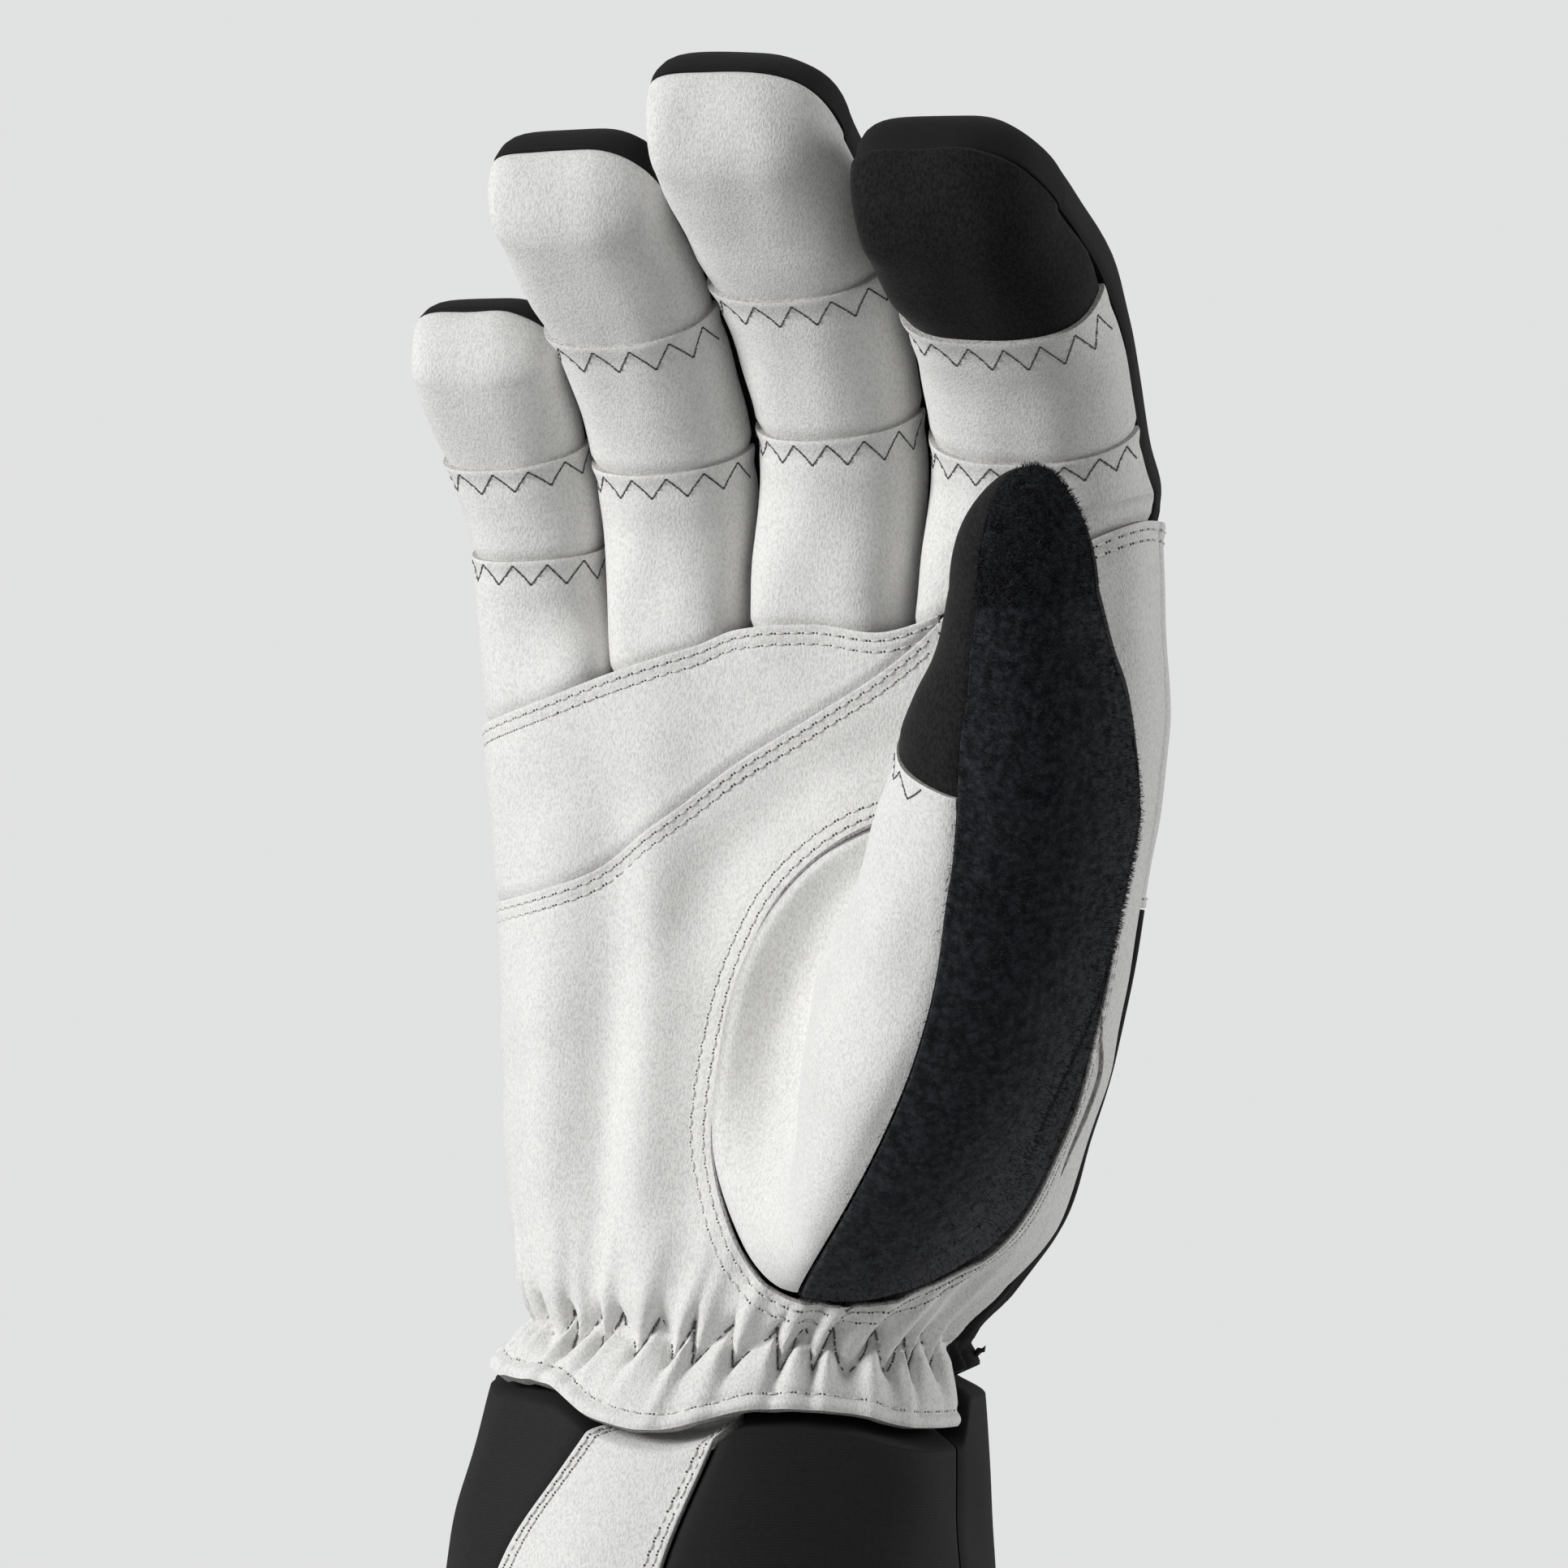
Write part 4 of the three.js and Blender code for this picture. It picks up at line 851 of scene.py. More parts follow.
back_sheet = back_panel()
dress("back_panel_softshell", "back_panel", "softshell", back_sheet, softshell_wall, back_size, softshell)
rows = [zigzag_ends(*elastic_line(thumb_side_seam(cuff_height) + 3, 360 + pinky_side_seam - 3), 4)]
sew("elastic_zigzag_back", "softshell", black_thread, back_sheet, rows, **elastic_seam)

# The cut end of the elastic's thread, a short black tail on the thumb side: outwards and up, in millimetres.
tail_out, tail_up = np.array([0, 0.3, 0.9, 1.5, 1.9])[:, None] - 0.3, np.array([0, 0.1, 0.5, 0.3, 0.9])[:, None]
tail_root, tail_normal = settle(hand_point(np.array([104.0]), np.array([cuff_height - 3.5])), back_sheet)
tail_line = tail_root + tail_normal * tail_out + np.array([0.0, 0.0, 1.0]) * tail_up
tail_rings = closed_rings(tail_line[None], np.array([0.45, 0.5, 0.35]), np.array([[0.0, 1.0, 0.0]]))
fasten(new_mesh("elastic_thread_tail", *tail_rings), "softshell", black_thread)


# The fingers: leather in three short pieces on the palm side, each lapped over the next one up with its raw edge
# showing, and one softshell piece over the back and the tip. The index finger's last piece is touch fabric.
FINGERS = table(
    "left right width depth length reach tip lean low_seam high_seam",
    (-0.3385, -0.123, 22, 22, 51, 15, 8, 0.12, 0.46, 0.76),
    (-0.123, 0.08, 24.6, 25, 65, 29, 10.5, 0.16, 0.475, 0.79),
    (0.08, 0.318, 25.8, 26, 69.5, 32, 12, 0.16, 0.45, 0.765),
    (0.318, 0.645, 31.6, 27, 52, 34, 13.5, 0.16, 0.44, 0.82),
)
zigzag_pitch = 5.0
finger_gap, finger_loose, side_gap = 0.5, 0.35, 0.06
base_square, finger_square, tip_square_left, tip_square_right = 4.2, 2.35, 5.5, 2.6
pad_round, tip_round = 1.7, 2.3
finger_rows = dict(
    pinky=table(
        "up side out wide deep",
        (0.0, 0.0, 0.0, 1.0, 1.0),
        (0.25, -0.09, 0.1, 0.96, 1.02),
        (0.52, -0.1, 0.28, 0.95, 1.0),
        (0.75, -0.17, 0.55, 1.0, 0.98),
        (1.0, -0.25, 1.0, 0.98, 0.9),
    ),
    ring=table(
        "up side out wide deep",
        (0.0, 0.0, 0.0, 0.86, 1.0),
        (0.18, -0.06, 0.05, 0.92, 1.02),
        (0.4, -0.06, 0.18, 0.98, 1.0),
        (0.6, -0.09, 0.37, 1.0, 0.98),
        (0.82, -0.17, 0.68, 1.04, 0.96),
        (1.0, -0.28, 1.0, 1.0, 0.88),
    ),
    middle=table(
        "up side out wide deep",
        (0.0, 0.0, 0.0, 0.95, 1.0),
        (0.2, 0.01, 0.06, 0.96, 1.02),
        (0.4, 0.06, 0.19, 0.97, 1.0),
        (0.6, 0.03, 0.38, 1.0, 0.98),
        (0.8, -0.03, 0.65, 1.04, 0.96),
        (1.0, -0.12, 1.0, 1.04, 0.88),
    ),
    index=table(
        "up side out wide deep",
        (0.0, 0.0, 0.0, 1.07, 1.0),
        (0.22, 0.035, 0.07, 1.04, 1.02),
        (0.45, 0.045, 0.22, 0.98, 1.0),
        (0.68, 0.065, 0.46, 0.97, 0.98),
        (0.85, 0.06, 0.72, 0.93, 0.95),
        (1.0, 0.005, 1.0, 0.86, 0.88),
    ),
)
fingers = {name: {key: FINGERS[key][i] for key in FINGERS} for i, name in enumerate(finger_rows)}


def hand_depth(x, z, side):
    """The hand's half depth at x, on the palm's side for side 1 and on the back for side -1."""
    up = (z - cuff_height) / palm_height
    middle = palm_width * column(hand_rows, "up", "middle", up)
    half = palm_width / 2 * column(hand_rows, "up", "wide", up)
    square = column(hand_rows, "up", "square", up)
    deep = palm_depth * column(hand_rows, "up", "front" if side > 0 else "back", up)
    share = np.clip(np.abs(x - middle) / half, 0, 1)
    return deep * (1 - share**square) ** (1 / square)


def finger_point(name, side, q, v):
    """A finger's surface: a half superellipse round a curved spine, q from -1 to 1 across it, v from 0 to 1 up the
    finger and from 1 to 2 over the round tip. At its base it has the hand's own depth and height."""
    finger, rows = fingers[name], finger_rows[name]
    middle = palm_width * (finger["left"] + finger["right"]) / 2
    base = finger_seam(middle)

    def spine(t):
        """The middle line: sideways and out to the palm by the finger's table, and up its length."""
        return xyz(
            middle + finger["width"] * column(rows, "up", "side", t),
            -finger["reach"] * column(rows, "up", "out", t),
            base + finger["length"] * t,
        )

    t = np.clip(v, 0, 1)
    step = 0.02
    loose = smooth(0, finger_loose, t)
    along = unit(spine(np.minimum(t + step, 1)) - spine(np.minimum(t, 1 - step)))
    along = unit(mix(along, np.array([0.0, 0.0, 1.0]), (1 - loose)[..., None]))
    across = unit(np.array([1.0, 0.0, 0.0]) - along * along[..., :1])
    out = np.cross(across, along)
    tip_square = mix(tip_square_left, tip_square_right, smooth(-0.4, 0.4, q))
    ex, ey = superellipse(90 * q, mix(mix(base_square, finger_square, loose), tip_square, smooth(0.6, 1.2, v)))
    ox, oy = superellipse(90 * np.clip(v - 1, 0, 1), pad_round if side > 0 else tip_round)
    base_half = (palm_width * (finger["right"] - finger["left"]) - finger_gap) / 2
    half = mix(base_half, finger["width"] / 2 * column(rows, "up", "wide", t), loose)
    point = spine(t) + across * (half * ex)[..., None]
    free = finger["depth"] / 2 * column(rows, "up", "deep", t)
    deep = mix(hand_depth(point[..., 0], finger_seam(point[..., 0]), side), free, loose)
    point = point + out * (side * (deep * ey * oy + side_gap))[..., None]
    slope = finger["lean"] * half * ex * smooth(finger_loose, 1, t)
    point = point + along * (finger["tip"] * ey * ox - slope)[..., None]
    point[..., 2] += (finger_seam(point[..., 0]) - base) * (1 - loose)
    return point


touch_fabric = patterned(
    "touch_fabric", nap, (0.004, 0.0038, 0.0036), (0.017, 0.016, 0.0155), (0.00015, 0.5),
    dict(Fibres=2800.0, Patches=300.0, Contrast=1.3),
    Roughness=0.9, Sheen_Weight=0.08, Sheen_Roughness=0.4, Specular_IOR_Level=0.2,
)
side_stop, girth_share, tip_share = 0.997, 1.45, 1.4
for name, finger in fingers.items():
    gap, over = seam_gap / 2 / finger["length"], lap_over / finger["length"]
    parts = (
        ("touch_tip" if name == "index" else "tip", finger["high_seam"] + gap, 2.0),
        ("middle", finger["low_seam"] + gap, finger["high_seam"] + over),
        ("base", 0.0, finger["low_seam"] + over),
    )
    girth = girth_share * finger["width"]
    for part, first, last in parts:
        tall = finger["length"] * (min(last, 1.0) - first) + (tip_share * finger["tip"] if last > 1 else 0)

        def front(u, w):
            """The palm side of the finger between two places along it."""
            return finger_point(name, 1, side_stop * mix(-1, 1, u), mix(first, last, w))

        def front_relief(u, w, point):
            """The top edge laps over the next piece, the lower edge slips under, and the sides turn in."""
            top = (1 - w) * tall
            edge = lap(top, -0.25, 1.2) if last > 1 else lap(top, 0.3, 3.0) - 0.2 * hump(top - 2.4, 1.6)
            edge = edge + lap(w * tall, -0.55, 2.0) + both_laps(u, girth, -0.35, 1.4)
            return edge + 0.22 * unevenness(point, 11, 7)

        sheet = skin(front, lines(girth, 0.7), lines(tall, 0.7), front_relief)
        if part == "touch_tip":
            looks = (sheet, leather_wall, (girth, tall), touch_fabric, touch_fabric)
            dress(f"{name}_{part}_fabric", f"{name}_{part}", "touch_fabric", *looks)
        else:
            leather(f"{name}_{part}_leather", f"{name}_{part}", sheet, (girth, tall))
        if last < 1:
            share = np.linspace(0.03, 0.97, 3000)
            row = front(share, 1 - (2.3 - zigzag(share * girth / zigzag_pitch, 1.6)) / tall)
            rows = [zigzag_ends(row, share * girth / zigzag_pitch)]
            sew(f"{name}_{part}_zigzag", "white_leather", grey_thread, sheet, rows, **finger_zigzag)

    tall = finger["length"] + tip_share * finger["tip"]

    def finger_back(u, w):
        """The back of the finger, from its root over the tip."""
        return finger_point(name, -1, side_stop * mix(1, -1, u), 2 * w)

    def back_relief(u, w, point):
        """The sides and the tip turn in to their seams with the leather."""
        edges = both_laps(u, girth, -0.35, 1.4) + lap(w * tall, -0.5, 1.8) + lap((1 - w) * tall, -0.2, 1.2)
        return edges + 0.22 * unevenness(point, 13, 9)

    sheet = skin(finger_back, lines(girth, 0.9), lines(tall, 0.9), back_relief)
    dress(f"{name}_back_softshell", f"{name}_back", "softshell", sheet, softshell_wall, (girth, tall), softshell)


# The thumb: leather that grows out of the hole in the palm, a touch patch over its front, a fleece wiping pad on
# its outer side from the hole to the tip, and a strip of softshell on the side that faces the index finger.
thumb_length, thumb_width, thumb_tip_length = 62, 36.6, 17
thumb_turn, thumb_forward, thumb_across, thumb_root_height = 167, 47, 57, 62
thumb_square, thumb_round = 2.1, 1.8
root_run, swell_run = (0.8, 0.1), (0.42, 1.15)
root_valley = dict(angle=168, wide=45, deep=0.5)
front_seam_angle, back_seam_angle = 255, 38
touch_seam, fleece_back_edge = 0.47, -0.28
fleece_wall = 2.6
thumb_rows = table(
    "up across out wide deep turn",
    (0.0, 0.0, 0.0, 1.02, 1.0, 11),
    (0.2, 0.09, 0.06, 1.0, 0.98, 7),
    (0.38, 0.17, 0.13, 0.95, 0.95, 2),
    (0.53, 0.22, 0.19, 0.89, 0.88, -2),
    (0.68, 0.26, 0.24, 0.79, 0.78, -6),
    (0.8, 0.28, 0.28, 0.68, 0.67, -8),
    (1.0, 0.3, 0.33, 0.55, 0.55, -10),
)
thumb_folds = (
    dict(angle=152, up=0.23, wide=52, tall=0.15, out=-5.6),
    dict(angle=205, up=0.27, wide=24, tall=0.13, out=-2.4),
    dict(angle=212, up=0.6, wide=34, tall=0.2, out=2.4),
)


def hole_point(angle, share):
    """A place at a share of the thumb hole's rim, on the smooth hand."""
    return hand_point(*hole_place(angle, share), folds=False)


def thumb_tube(side, q, v):
    """The free thumb: a half superellipse round a spine that leans forwards and turns towards the back."""

    def spine(t):
        """The middle line: sideways and forwards by the thumb's table, and up its length."""
        return xyz(
            thumb_across + thumb_width * column(thumb_rows, "up", "across", t),
            -thumb_forward - thumb_forward * column(thumb_rows, "up", "out", t),
            cuff_height + thumb_root_height + (thumb_length - thumb_tip_length) * t,
        )

    t = np.clip(v, 0, 1)
    step = 0.02
    along = unit(spine(np.minimum(t + step, 1)) - spine(np.minimum(t, 1 - step)))
    turn = np.radians(thumb_turn + column(thumb_rows, "up", "turn", t))
    out = xyz(np.cos(turn), np.sin(turn), 0)
    out = unit(out - along * (out * along).sum(-1, keepdims=True))
    across = np.cross(along, out)
    ex, ey = superellipse(90 * q, thumb_square)
    ox, oy = superellipse(90 * np.clip(v - 1, 0, 1), thumb_round)
    half = thumb_width / 2 * column(thumb_rows, "up", "wide", t)
    deep = thumb_width / 2 * column(thumb_rows, "up", "deep", t)
    return (
        spine(t)
        + across * (half * ex)[..., None]
        + out * (side * (deep * ey * oy + side_gap))[..., None]
        + along * (thumb_tip_length * ey * ox)[..., None]
    )


def hole_angle(side, q):
    """The angle round the hole from which the thumb's surface rises at q."""
    inset = 0.003
    share = mix(inset, 1 - inset, (q + 1) / 2 if side > 0 else (1 - q) / 2)
    if side > 0:
        return mix(back_seam_angle, front_seam_angle, share)
    return mix(front_seam_angle, back_seam_angle + 360, share)


def thumb_root(side, q, t):
    """The skin between the hole and the free thumb: a cubic that leaves the rim inwards along the hand, or forwards
    on the outer side, and comes in along the thumb."""
    angle = hole_angle(side, q)
    start = hole_point(angle, hole_share)
    inward = unit(hole_point(angle, hole_share - 0.1) - start)
    end = thumb_tube(side, q, 0 * q)
    rise = unit(thumb_tube(side, q, 0 * q + 0.03) - end)
    reach = np.linalg.norm(end - start, axis=-1)[..., None]
    swell = smooth(-0.3, 0.9, -np.cos(np.radians(angle - 110)))[..., None]
    forward = unit(np.concatenate([0.1 + 0 * swell, -1 + 0 * swell, -0.15 * swell], -1))
    valley = root_valley["deep"] * hump(angle - root_valley["angle"], root_valley["wide"])[..., None]
    leave = inward * mix(root_run[0], swell_run[0], swell) + forward * (mix(root_run[1], swell_run[1], swell) - valley)
    t = t[..., None]
    t2, t3 = t * t, t * t * t
    bend = leave * (t3 - 2 * t2 + t) + rise * (t3 - t2)
    return start * (2 * t3 - 3 * t2 + 1) + end * (3 * t2 - 2 * t3) + bend * reach


def thumb_point(side, q, v):
    """The whole thumb, v from -1 at the hole to 0 at its root, then as a finger, with the leather's soft folds."""
    q, v = np.broadcast_arrays(np.asarray(q, float), np.asarray(v, float))
    t = np.clip(v + 1, 0, 1)
    root = thumb_root(side, q, t)
    if side > 0:
        step = 0.01
        besides = thumb_root(side, q + step, t) - thumb_root(side, q - step, t)
        outward = unit(np.cross(besides, thumb_root(side, q, t + step) - thumb_root(side, q, t - step)))
        hold = smooth(1, 0.9, np.abs(q)) * smooth(0, 0.15, t)
        for fold in thumb_folds:
            relief = fold["out"] * hump(hole_angle(side, q) - fold["angle"], fold["wide"])
            root = root + outward * (relief * hold * hump(t - fold["up"], fold["tall"]))[..., None]
    return np.where((v >= 0)[..., None], thumb_tube(side, q, np.maximum(v, 0)), root)


def pile_pattern():
    """Curly fleece: cells of a distorted Voronoi pattern for the curls, over fine noise for single fibres. Shade
    follows
    Height: the pile's own mottling, and painted shade between the curls.
    """
    tree, given, made = pattern_group("pile")
    stray = noise(tree, given["Place"], 900.0, 3.0)[1]
    push = new_node(tree, "ShaderNodeVectorMath", {0: stray, 1: (0.0016, 0.0016, 0.0016)}, operation="MULTIPLY")
    moved = new_node(tree, "ShaderNodeVectorMath", {0: given["Place"], 1: push.outputs[0]}, operation="ADD").outputs[0]
    curls = new_node(tree, "ShaderNodeTexVoronoi", {"Vector": moved, "Scale": 950.0}, feature="SMOOTH_F1").outputs[0]
    fibres = noise(tree, moved, 3200.0, 3.0, Roughness=0.7)[0]
    height = maths(tree, "MULTIPLY_ADD", curls, -0.8, fibres)
    # the colour follows the Height: painted shade in the hollows between the curls, over the pile's own mottling
    tree.links.new(ranged(tree, height, -0.02, 0.42), made["Shade"])
    tree.links.new(height, made["Height"])
    return tree


fleece = patterned(
    "fleece", pile_pattern(), (0.0055, 0.006, 0.0075), (0.03, 0.033, 0.04), (0.0003, 0.6), {},
    Roughness=1.0, Sheen_Weight=0.12, Sheen_Roughness=0.6, Specular_IOR_Level=0.0,
)
thumb_gap, fleece_gap = seam_gap / thumb_length, 0.005
palm_side_size, palm_side_girth, touch_size, touch_girth = (60, 85), 45, (36, 46), 35
pile_size, thumb_back_size = (52, 150), (20, 130)


def thumb_leather(u, w):
    """The thumb's palm side from the hole up to the touch patch."""
    return thumb_point(1, side_stop * mix(-1, 1, u), mix(-1, touch_seam + thumb_gap, w))


def thumb_leather_relief(u, w, point):
    """The leather starts in the hole, laps over the touch patch at its top and turns in at its side seams."""
    tall = palm_side_size[1]
    relief = lap((1 - w) * tall, 0.3, 2.5) - 0.5 * (1 - smooth(0, 2.5, w * tall))
    return relief + both_laps(u, palm_side_girth, -0.3, 1.6) + 0.3 * unevenness(point, 12, 11) * smooth(0, 0.1, w)


def thumb_touch(u, w):
    """The thumb's palm side from the touch seam over the tip."""
    return thumb_point(1, side_stop * mix(-1, 1, u), mix(touch_seam, 2, w))


def thumb_touch_relief(u, w, point):
    """The patch slips under the leather below and turns in at its sides and its tip."""
    return both_laps(u, touch_girth, -0.3, 1.6) + lap(w * 42, -0.55, 2.0) + 0.2 * unevenness(point, 12, 12)


def fleece_edge(v):
    """Where the fleece ends across the thumb's hidden side: it narrows from the hole to the root."""
    return mix(-0.93, fleece_back_edge, smooth(-1, -0.1, v))


def thumb_fleece(u, w):
    """The outer side from the seam with the leather to the fleece's hidden edge, from the hole over the tip."""
    v = mix(-1, 2, w)
    return thumb_point(-1, mix(side_stop, fleece_edge(v) + fleece_gap, u), v)


def thumb_fleece_relief(u, w, point):
    """The pile stands in low tufts, slips under the hole's rim and hides its side seams."""
    tufts = unevenness(point, 2.4, 21) + 0.6 * unevenness(point, 1.4, 22)
    edges = both_laps(u, 50, 0.1, 2.0, 0.25) - 0.5 * (1 - smooth(0, 2.5, w * pile_size[1]))
    return edges + 0.1 * tufts + 0.2 * unevenness(point, 15, 23)


def thumb_back(u, w):
    """The strip between the fleece's hidden edge and the leather's seam, from over the hole to the tip."""
    v = mix(-0.9, 2, w)
    return thumb_point(-1, mix(fleece_edge(v) - fleece_gap, -side_stop, u), v)


sheet = skin(thumb_leather, lines(palm_side_size[0], 0.7), lines(palm_side_size[1], 0.7), thumb_leather_relief)
leather("thumb_leather_palm_side", "thumb_leather", sheet, palm_side_size)
share = np.linspace(0.6, 0.9, 1200)
row = thumb_leather(share, 1 - (2.3 - zigzag(share * palm_side_girth / zigzag_pitch, 1.6)) / palm_side_size[1])
rows = [zigzag_ends(row, share * palm_side_girth / zigzag_pitch)]
sew("thumb_zigzag", "white_leather", grey_thread, sheet, rows, **finger_zigzag)
sheet = skin(thumb_touch, lines(touch_size[0], 0.7), lines(touch_size[1], 0.7), thumb_touch_relief)
dress("thumb_touch_tip_fabric", "thumb_touch_tip", "touch_fabric", sheet, leather_wall, touch_size, touch_fabric)
sheet = skin(thumb_fleece, lines(pile_size[0], 0.55), lines(pile_size[1], 0.55), thumb_fleece_relief)
dress("thumb_fleece_pile", "thumb_fleece", "fleece", sheet, fleece_wall, pile_size, fleece)


def loose_fibres(sheet, count, seed):
    """Short three-sided hairs on drawn places of a sheet: each leans a drawn way and bends over to its tip."""
    draw = np.random.default_rng(seed)
    points, normals = sheet[0], sheet[1]
    at = draw.integers(0, len(points), count)
    normal = normals[at]
    base = points[at] + np.cross(normal, draw.normal(size=(count, 3))) * 0.3 - normal * 0.15
    lean = np.cross(normal, unit(draw.normal(size=(count, 3))))
    bend = np.cross(normal, unit(draw.normal(size=(count, 3))))
    length = draw.uniform(0.7, 1.35, (count, 1))
    middle = base + (normal * 0.55 + lean * 0.35) * length
    tip = base + (normal * 0.75 + lean * 0.6 + bend * 0.45) * length
    side = unit(np.cross(normal, lean + 0.01))
    angle = np.arange(3) * 2 * np.pi / 3
    round_ = np.cos(angle)[:, None] * side[:, None] + np.sin(angle)[:, None] * unit(np.cross(side, normal))[:, None]
    rings = np.stack([base[:, None] + 0.06 * round_, middle[:, None] + 0.045 * round_], 1)
    made = np.concatenate([rings.reshape(count, 6, 3), tip[:, None]], 1)
    shift = 7 * np.arange(count)[:, None, None]
    quads = np.array([[0, 3, 4, 1], [1, 4, 5, 2], [2, 5, 3, 0]])[None] + shift
    triangles = np.array([[0, 1, 2], [3, 6, 4], [4, 6, 5], [5, 6, 3]])[None] + shift
    return made.reshape(-1, 3), quads.reshape(-1, 4), triangles.reshape(-1, 3)


fasten(new_mesh("thumb_fleece_hairs", *loose_fibres(sheet, 16000, 41)), "fleece", fleece)


def no_relief(u, w, point):
    """The strip lies smooth: no relief anywhere."""
    return 0.0


sheet = skin(thumb_back, lines(thumb_back_size[0], 0.9), lines(thumb_back_size[1], 0.9), no_relief)
dress("thumb_back_softshell", "thumb_back", "softshell", sheet, softshell_wall, thumb_back_size, softshell)


# The cuff: a stretch knit in three pieces and a leather strip, sewn in under the elastic, open at its rim.
cuff_width, cuff_depth, cuff_wall = 84, 78, 1.6
cuff_blend, cuff_seam_turn, cuff_square, back_hem_clear = 3.5, 1, 2.1, 0.9
cuff_rows = table(
    "up middle wide front back",
    (0.0, 0.0, 1.0, 0.5, 0.5),
    (0.3, 0.0, 0.99, 0.495, 0.485),
    (0.6, 0.003, 0.96, 0.455, 0.445),
    (0.85, 0.029, 0.892, 0.39, 0.385),
    (1.0, 0.042, 0.833, 0.36, 0.355),
)
cuff_edges = dict(
    left=table("up turn", (0.0, -76), (1.0, -76)),
    strip_left=table("up turn", (0.0, -52), (0.55, -36), (0.83, -18), (1.0, -12)),
    strip_right=table("up turn", (0.0, 2), (0.55, 5), (0.83, 13), (1.0, 17)),
    right=table("up turn", (0.0, 82), (1.0, 76)),
)
cuff_fold = dict(turn=58, wide=14, out=2)


def hem_over_cuff(turn):
    """The height of the hem's edge, which steps from the palm leather's to the back's at the corners."""
    corner = side_seam_rows["turn"][0]
    on_palm = smooth(pinky_side_seam - 8, pinky_side_seam, turn) * smooth(corner + 10, corner + 2, turn)
    return mix(cuff_height - hem_length * back_hem - back_hem_clear, palm_hem(turn), on_palm)


def cuff_point(turn, z):
    """The cuff: a superellipse tucked in under the hem, which swells out below it."""
    up = z / cuff_height
    ex, ey = superellipse(turn, cuff_square)
    pinch = elastic_pinch * hump(z - cuff_height, elastic_wide + 3)
    tuck = softshell_wall + (1 + broad_share) * gather_depth + pinch + 2 * seam_gap
    below = smooth(0, cuff_blend, hem_over_cuff(turn) - z)
    zero = 0 * z
    wrist_half = palm_width / 2 * column(hand_rows, "up", "wide", zero) - tuck
    side = np.where(ey > 0, column(hand_rows, "up", "front", zero), column(hand_rows, "up", "back", zero))
    half = mix(wrist_half, cuff_width / 2 * column(cuff_rows, "up", "wide", up), below)
    full = cuff_depth * np.where(ey > 0, column(cuff_rows, "up", "front", up), column(cuff_rows, "up", "back", up))
    deep = mix(palm_depth * side - tuck, full, below)
    wrist_middle = palm_width * column(hand_rows, "up", "middle", zero)
    middle = mix(wrist_middle, cuff_width * column(cuff_rows, "up", "middle", up), below)
    swell = 1 + cuff_fold["out"] * below * hump(turn - cuff_fold["turn"], cuff_fold["wide"]) / half
    return xyz(middle + half * ex * swell, -deep * ey * swell, z)


def cuff_rise(turn, w):
    """Height at share w: up to the hem's edge, through the narrow blend, and on up to the elastic."""
    hem = hem_over_cuff(turn)
    low = mix(0, hem - cuff_blend, w / 0.6)
    blend = mix(hem - cuff_blend, hem, 5 * w - 3)
    return np.where(w < 0.6, low, np.where(w < 0.8, blend, mix(hem, elastic_height(0) - 1, 5 * w - 4)))


cuff_knit = patterned(
    "cuff_knit", knit, (0.006, 0.006, 0.0065), (0.024, 0.024, 0.025), (0.00008, 0.5),
    dict(Pitch=0.0005, Lean=0.8), on_cloth=True,
    Roughness=0.7, Sheen_Weight=0.05, Sheen_Roughness=0.4, Specular_IOR_Level=0.2,
)
cuff_tall = 80
cuff_pieces = (
    ("cuff_left", "left", "strip_left", 26),
    ("cuff_strip", "strip_left", "strip_right", 32),
    ("cuff_right", "strip_right", "right", 50),
    ("cuff_back", "right", "left", 140),
)
for node, left, right, girth in cuff_pieces:

    def cuff_place(u, w):
        """The cuff between two of its edges, whose angles are read at the height that the share up gives."""
        z = w * (elastic_height(0) - 1)
        for _ in range(3):
            first = column(cuff_edges[left], "up", "turn", z / cuff_height) + cuff_seam_turn / 2
            last = column(cuff_edges[right], "up", "turn", z / cuff_height) - cuff_seam_turn / 2
            turn = mix(first, np.where(last < first, last + 360, last), u)
            turn = np.where(turn > 180, turn - 360, turn)
            z = cuff_rise(turn, w)
        return cuff_point(turn, z)

    strip = node == "cuff_strip"

    def cuff_relief(u, w, point):
        """The strip laps over its neighbours, and the knit turns in at its seams."""
        edges = both_laps(u, girth, 0.35, 2.0) if strip else both_laps(u, girth, -0.4, 1.6)
        return edges + 0.25 * unevenness(point, 16, 31) * smooth(0.8, 0.7, w)

    sheet = skin(cuff_place, lines(girth, 1.0), lines(cuff_tall, 1.0), cuff_relief)
    if strip:
        size = (girth, cuff_tall)
        dress(f"{node}_leather", node, "white_leather", sheet, cuff_wall, size, white_leather, cut_edge)
        up = np.linspace(0.01, 0.8, 600)
        rows = [cuff_place(side, up) for place in row_places for side in (place / girth, 1 - place / girth)]
        sew_rows("cuff_strip_stitches", sheet, rows)
    else:
        dress(f"{node}_knit", node, "cuff_fabric", sheet, cuff_wall, (girth, cuff_tall), cuff_knit)


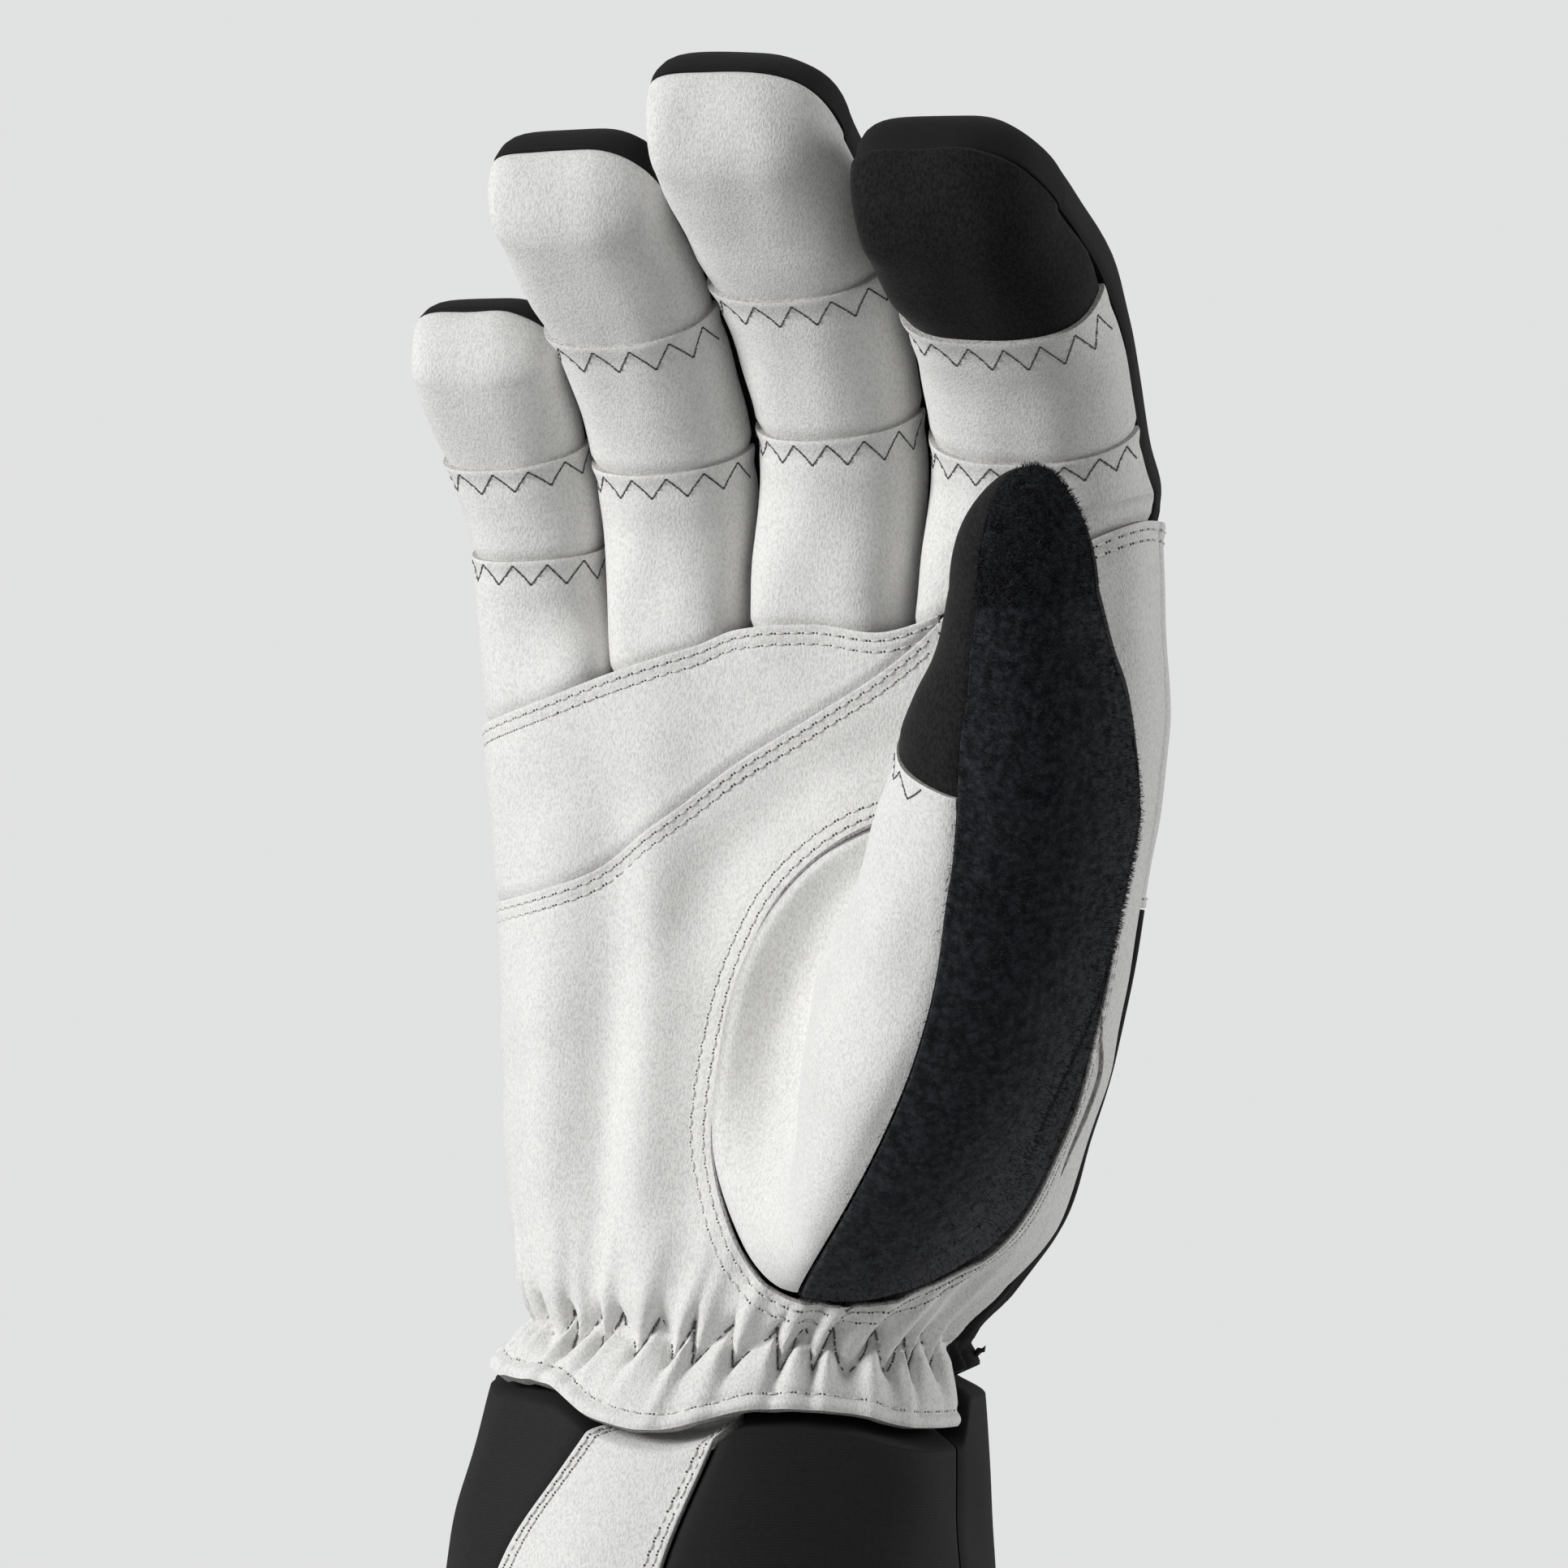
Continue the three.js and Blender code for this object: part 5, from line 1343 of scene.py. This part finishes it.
# The studio: a pale floor that fades out, a big soft light on the left, a narrower one behind on the right, a
# pale sky for fill, and a long lens at the height of the palm.
floor = bpy.data.objects.new("studio_floor", bpy.data.meshes.new("studio_floor"))
floor.data.from_pydata([(-1, -1, 0), (1, -1, 0), (1, 1, 0), (-1, 1, 0)], [], [(0, 1, 2, 3)])
bpy.context.scene.collection.objects.link(floor)
paper, tree, shader = material_with("studio_paper", Base_Color=(0.8, 0.8, 0.8, 1), Roughness=1.0)
spot = new_node(tree, "ShaderNodeTexCoord").outputs["Object"]
away = new_node(tree, "ShaderNodeVectorMath", {0: spot}, operation="LENGTH").outputs["Value"]
fade = new_node(
    tree,
    "ShaderNodeMapRange",
    {"Value": away, "From Min": 0.12, "From Max": 0.42, "To Min": 1.0, "To Max": 0.0},
    interpolation_type="SMOOTHSTEP",
)
tree.links.new(fade.outputs[0], shader.inputs["Alpha"])
floor.data.materials.append(paper)

world = bpy.data.worlds.new("studio")
bpy.context.scene.world = world
world.use_nodes = True
tree = world.node_tree
fill = tree.nodes["Background"]
fill.inputs["Color"].default_value = (0.97, 0.98, 1.0, 1)
fill.inputs["Strength"].default_value = 0.2
backdrop = new_node(tree, "ShaderNodeBackground", {"Color": (0.755, 0.758, 0.762, 1)})
seen = new_node(tree, "ShaderNodeLightPath").outputs["Is Camera Ray"]
sky = new_node(tree, "ShaderNodeMixShader", {0: seen, 1: fill.outputs[0], 2: backdrop.outputs[0]})
tree.links.new(sky.outputs[0], tree.nodes["World Output"].inputs["Surface"])

view_turn, view_distance = math.radians(20), 1.3
aim = np.array([0.010, 0.0, 0.159])
to_camera = np.array([math.sin(view_turn), -math.cos(view_turn), 0.0])
to_right = np.array([math.cos(view_turn), math.sin(view_turn), 0.0])
upwards = np.array([0.0, 0.0, 1.0])
soft_lights = (
    ("key_light", -1.15 * to_right + 0.42 * to_camera + 0.45 * upwards, 0.5, 15.5),
    ("edge_light", 1.1 * to_right - 0.1 * to_camera + 0.2 * upwards, 0.4, 5.0),
    ("front_light", 0.0 * to_right + 1.4 * to_camera + 0.8 * upwards, 0.9, 2.4),
)
for name, place, size, power in soft_lights:
    lamp = bpy.data.lights.new(name, "AREA")
    lamp.size, lamp.energy = size, power
    light = bpy.data.objects.new(name, lamp)
    place = aim + place
    light.location = place
    bpy.context.scene.collection.objects.link(light)
    bpy.context.view_layer.update()
    light.rotation_euler = Vector(aim - place).to_track_quat("-Z", "Y").to_euler()

lens = bpy.data.cameras.new("camera")
lens.lens, lens.sensor_width = 203.5, 36
lens.clip_end = 100
camera = bpy.data.objects.new("camera", lens)
camera.location = aim + view_distance * to_camera
camera.rotation_euler = (math.pi / 2, 0, view_turn)
bpy.context.scene.collection.objects.link(camera)
bpy.context.scene.camera = camera
bpy.context.scene.view_settings.view_transform = "Standard"
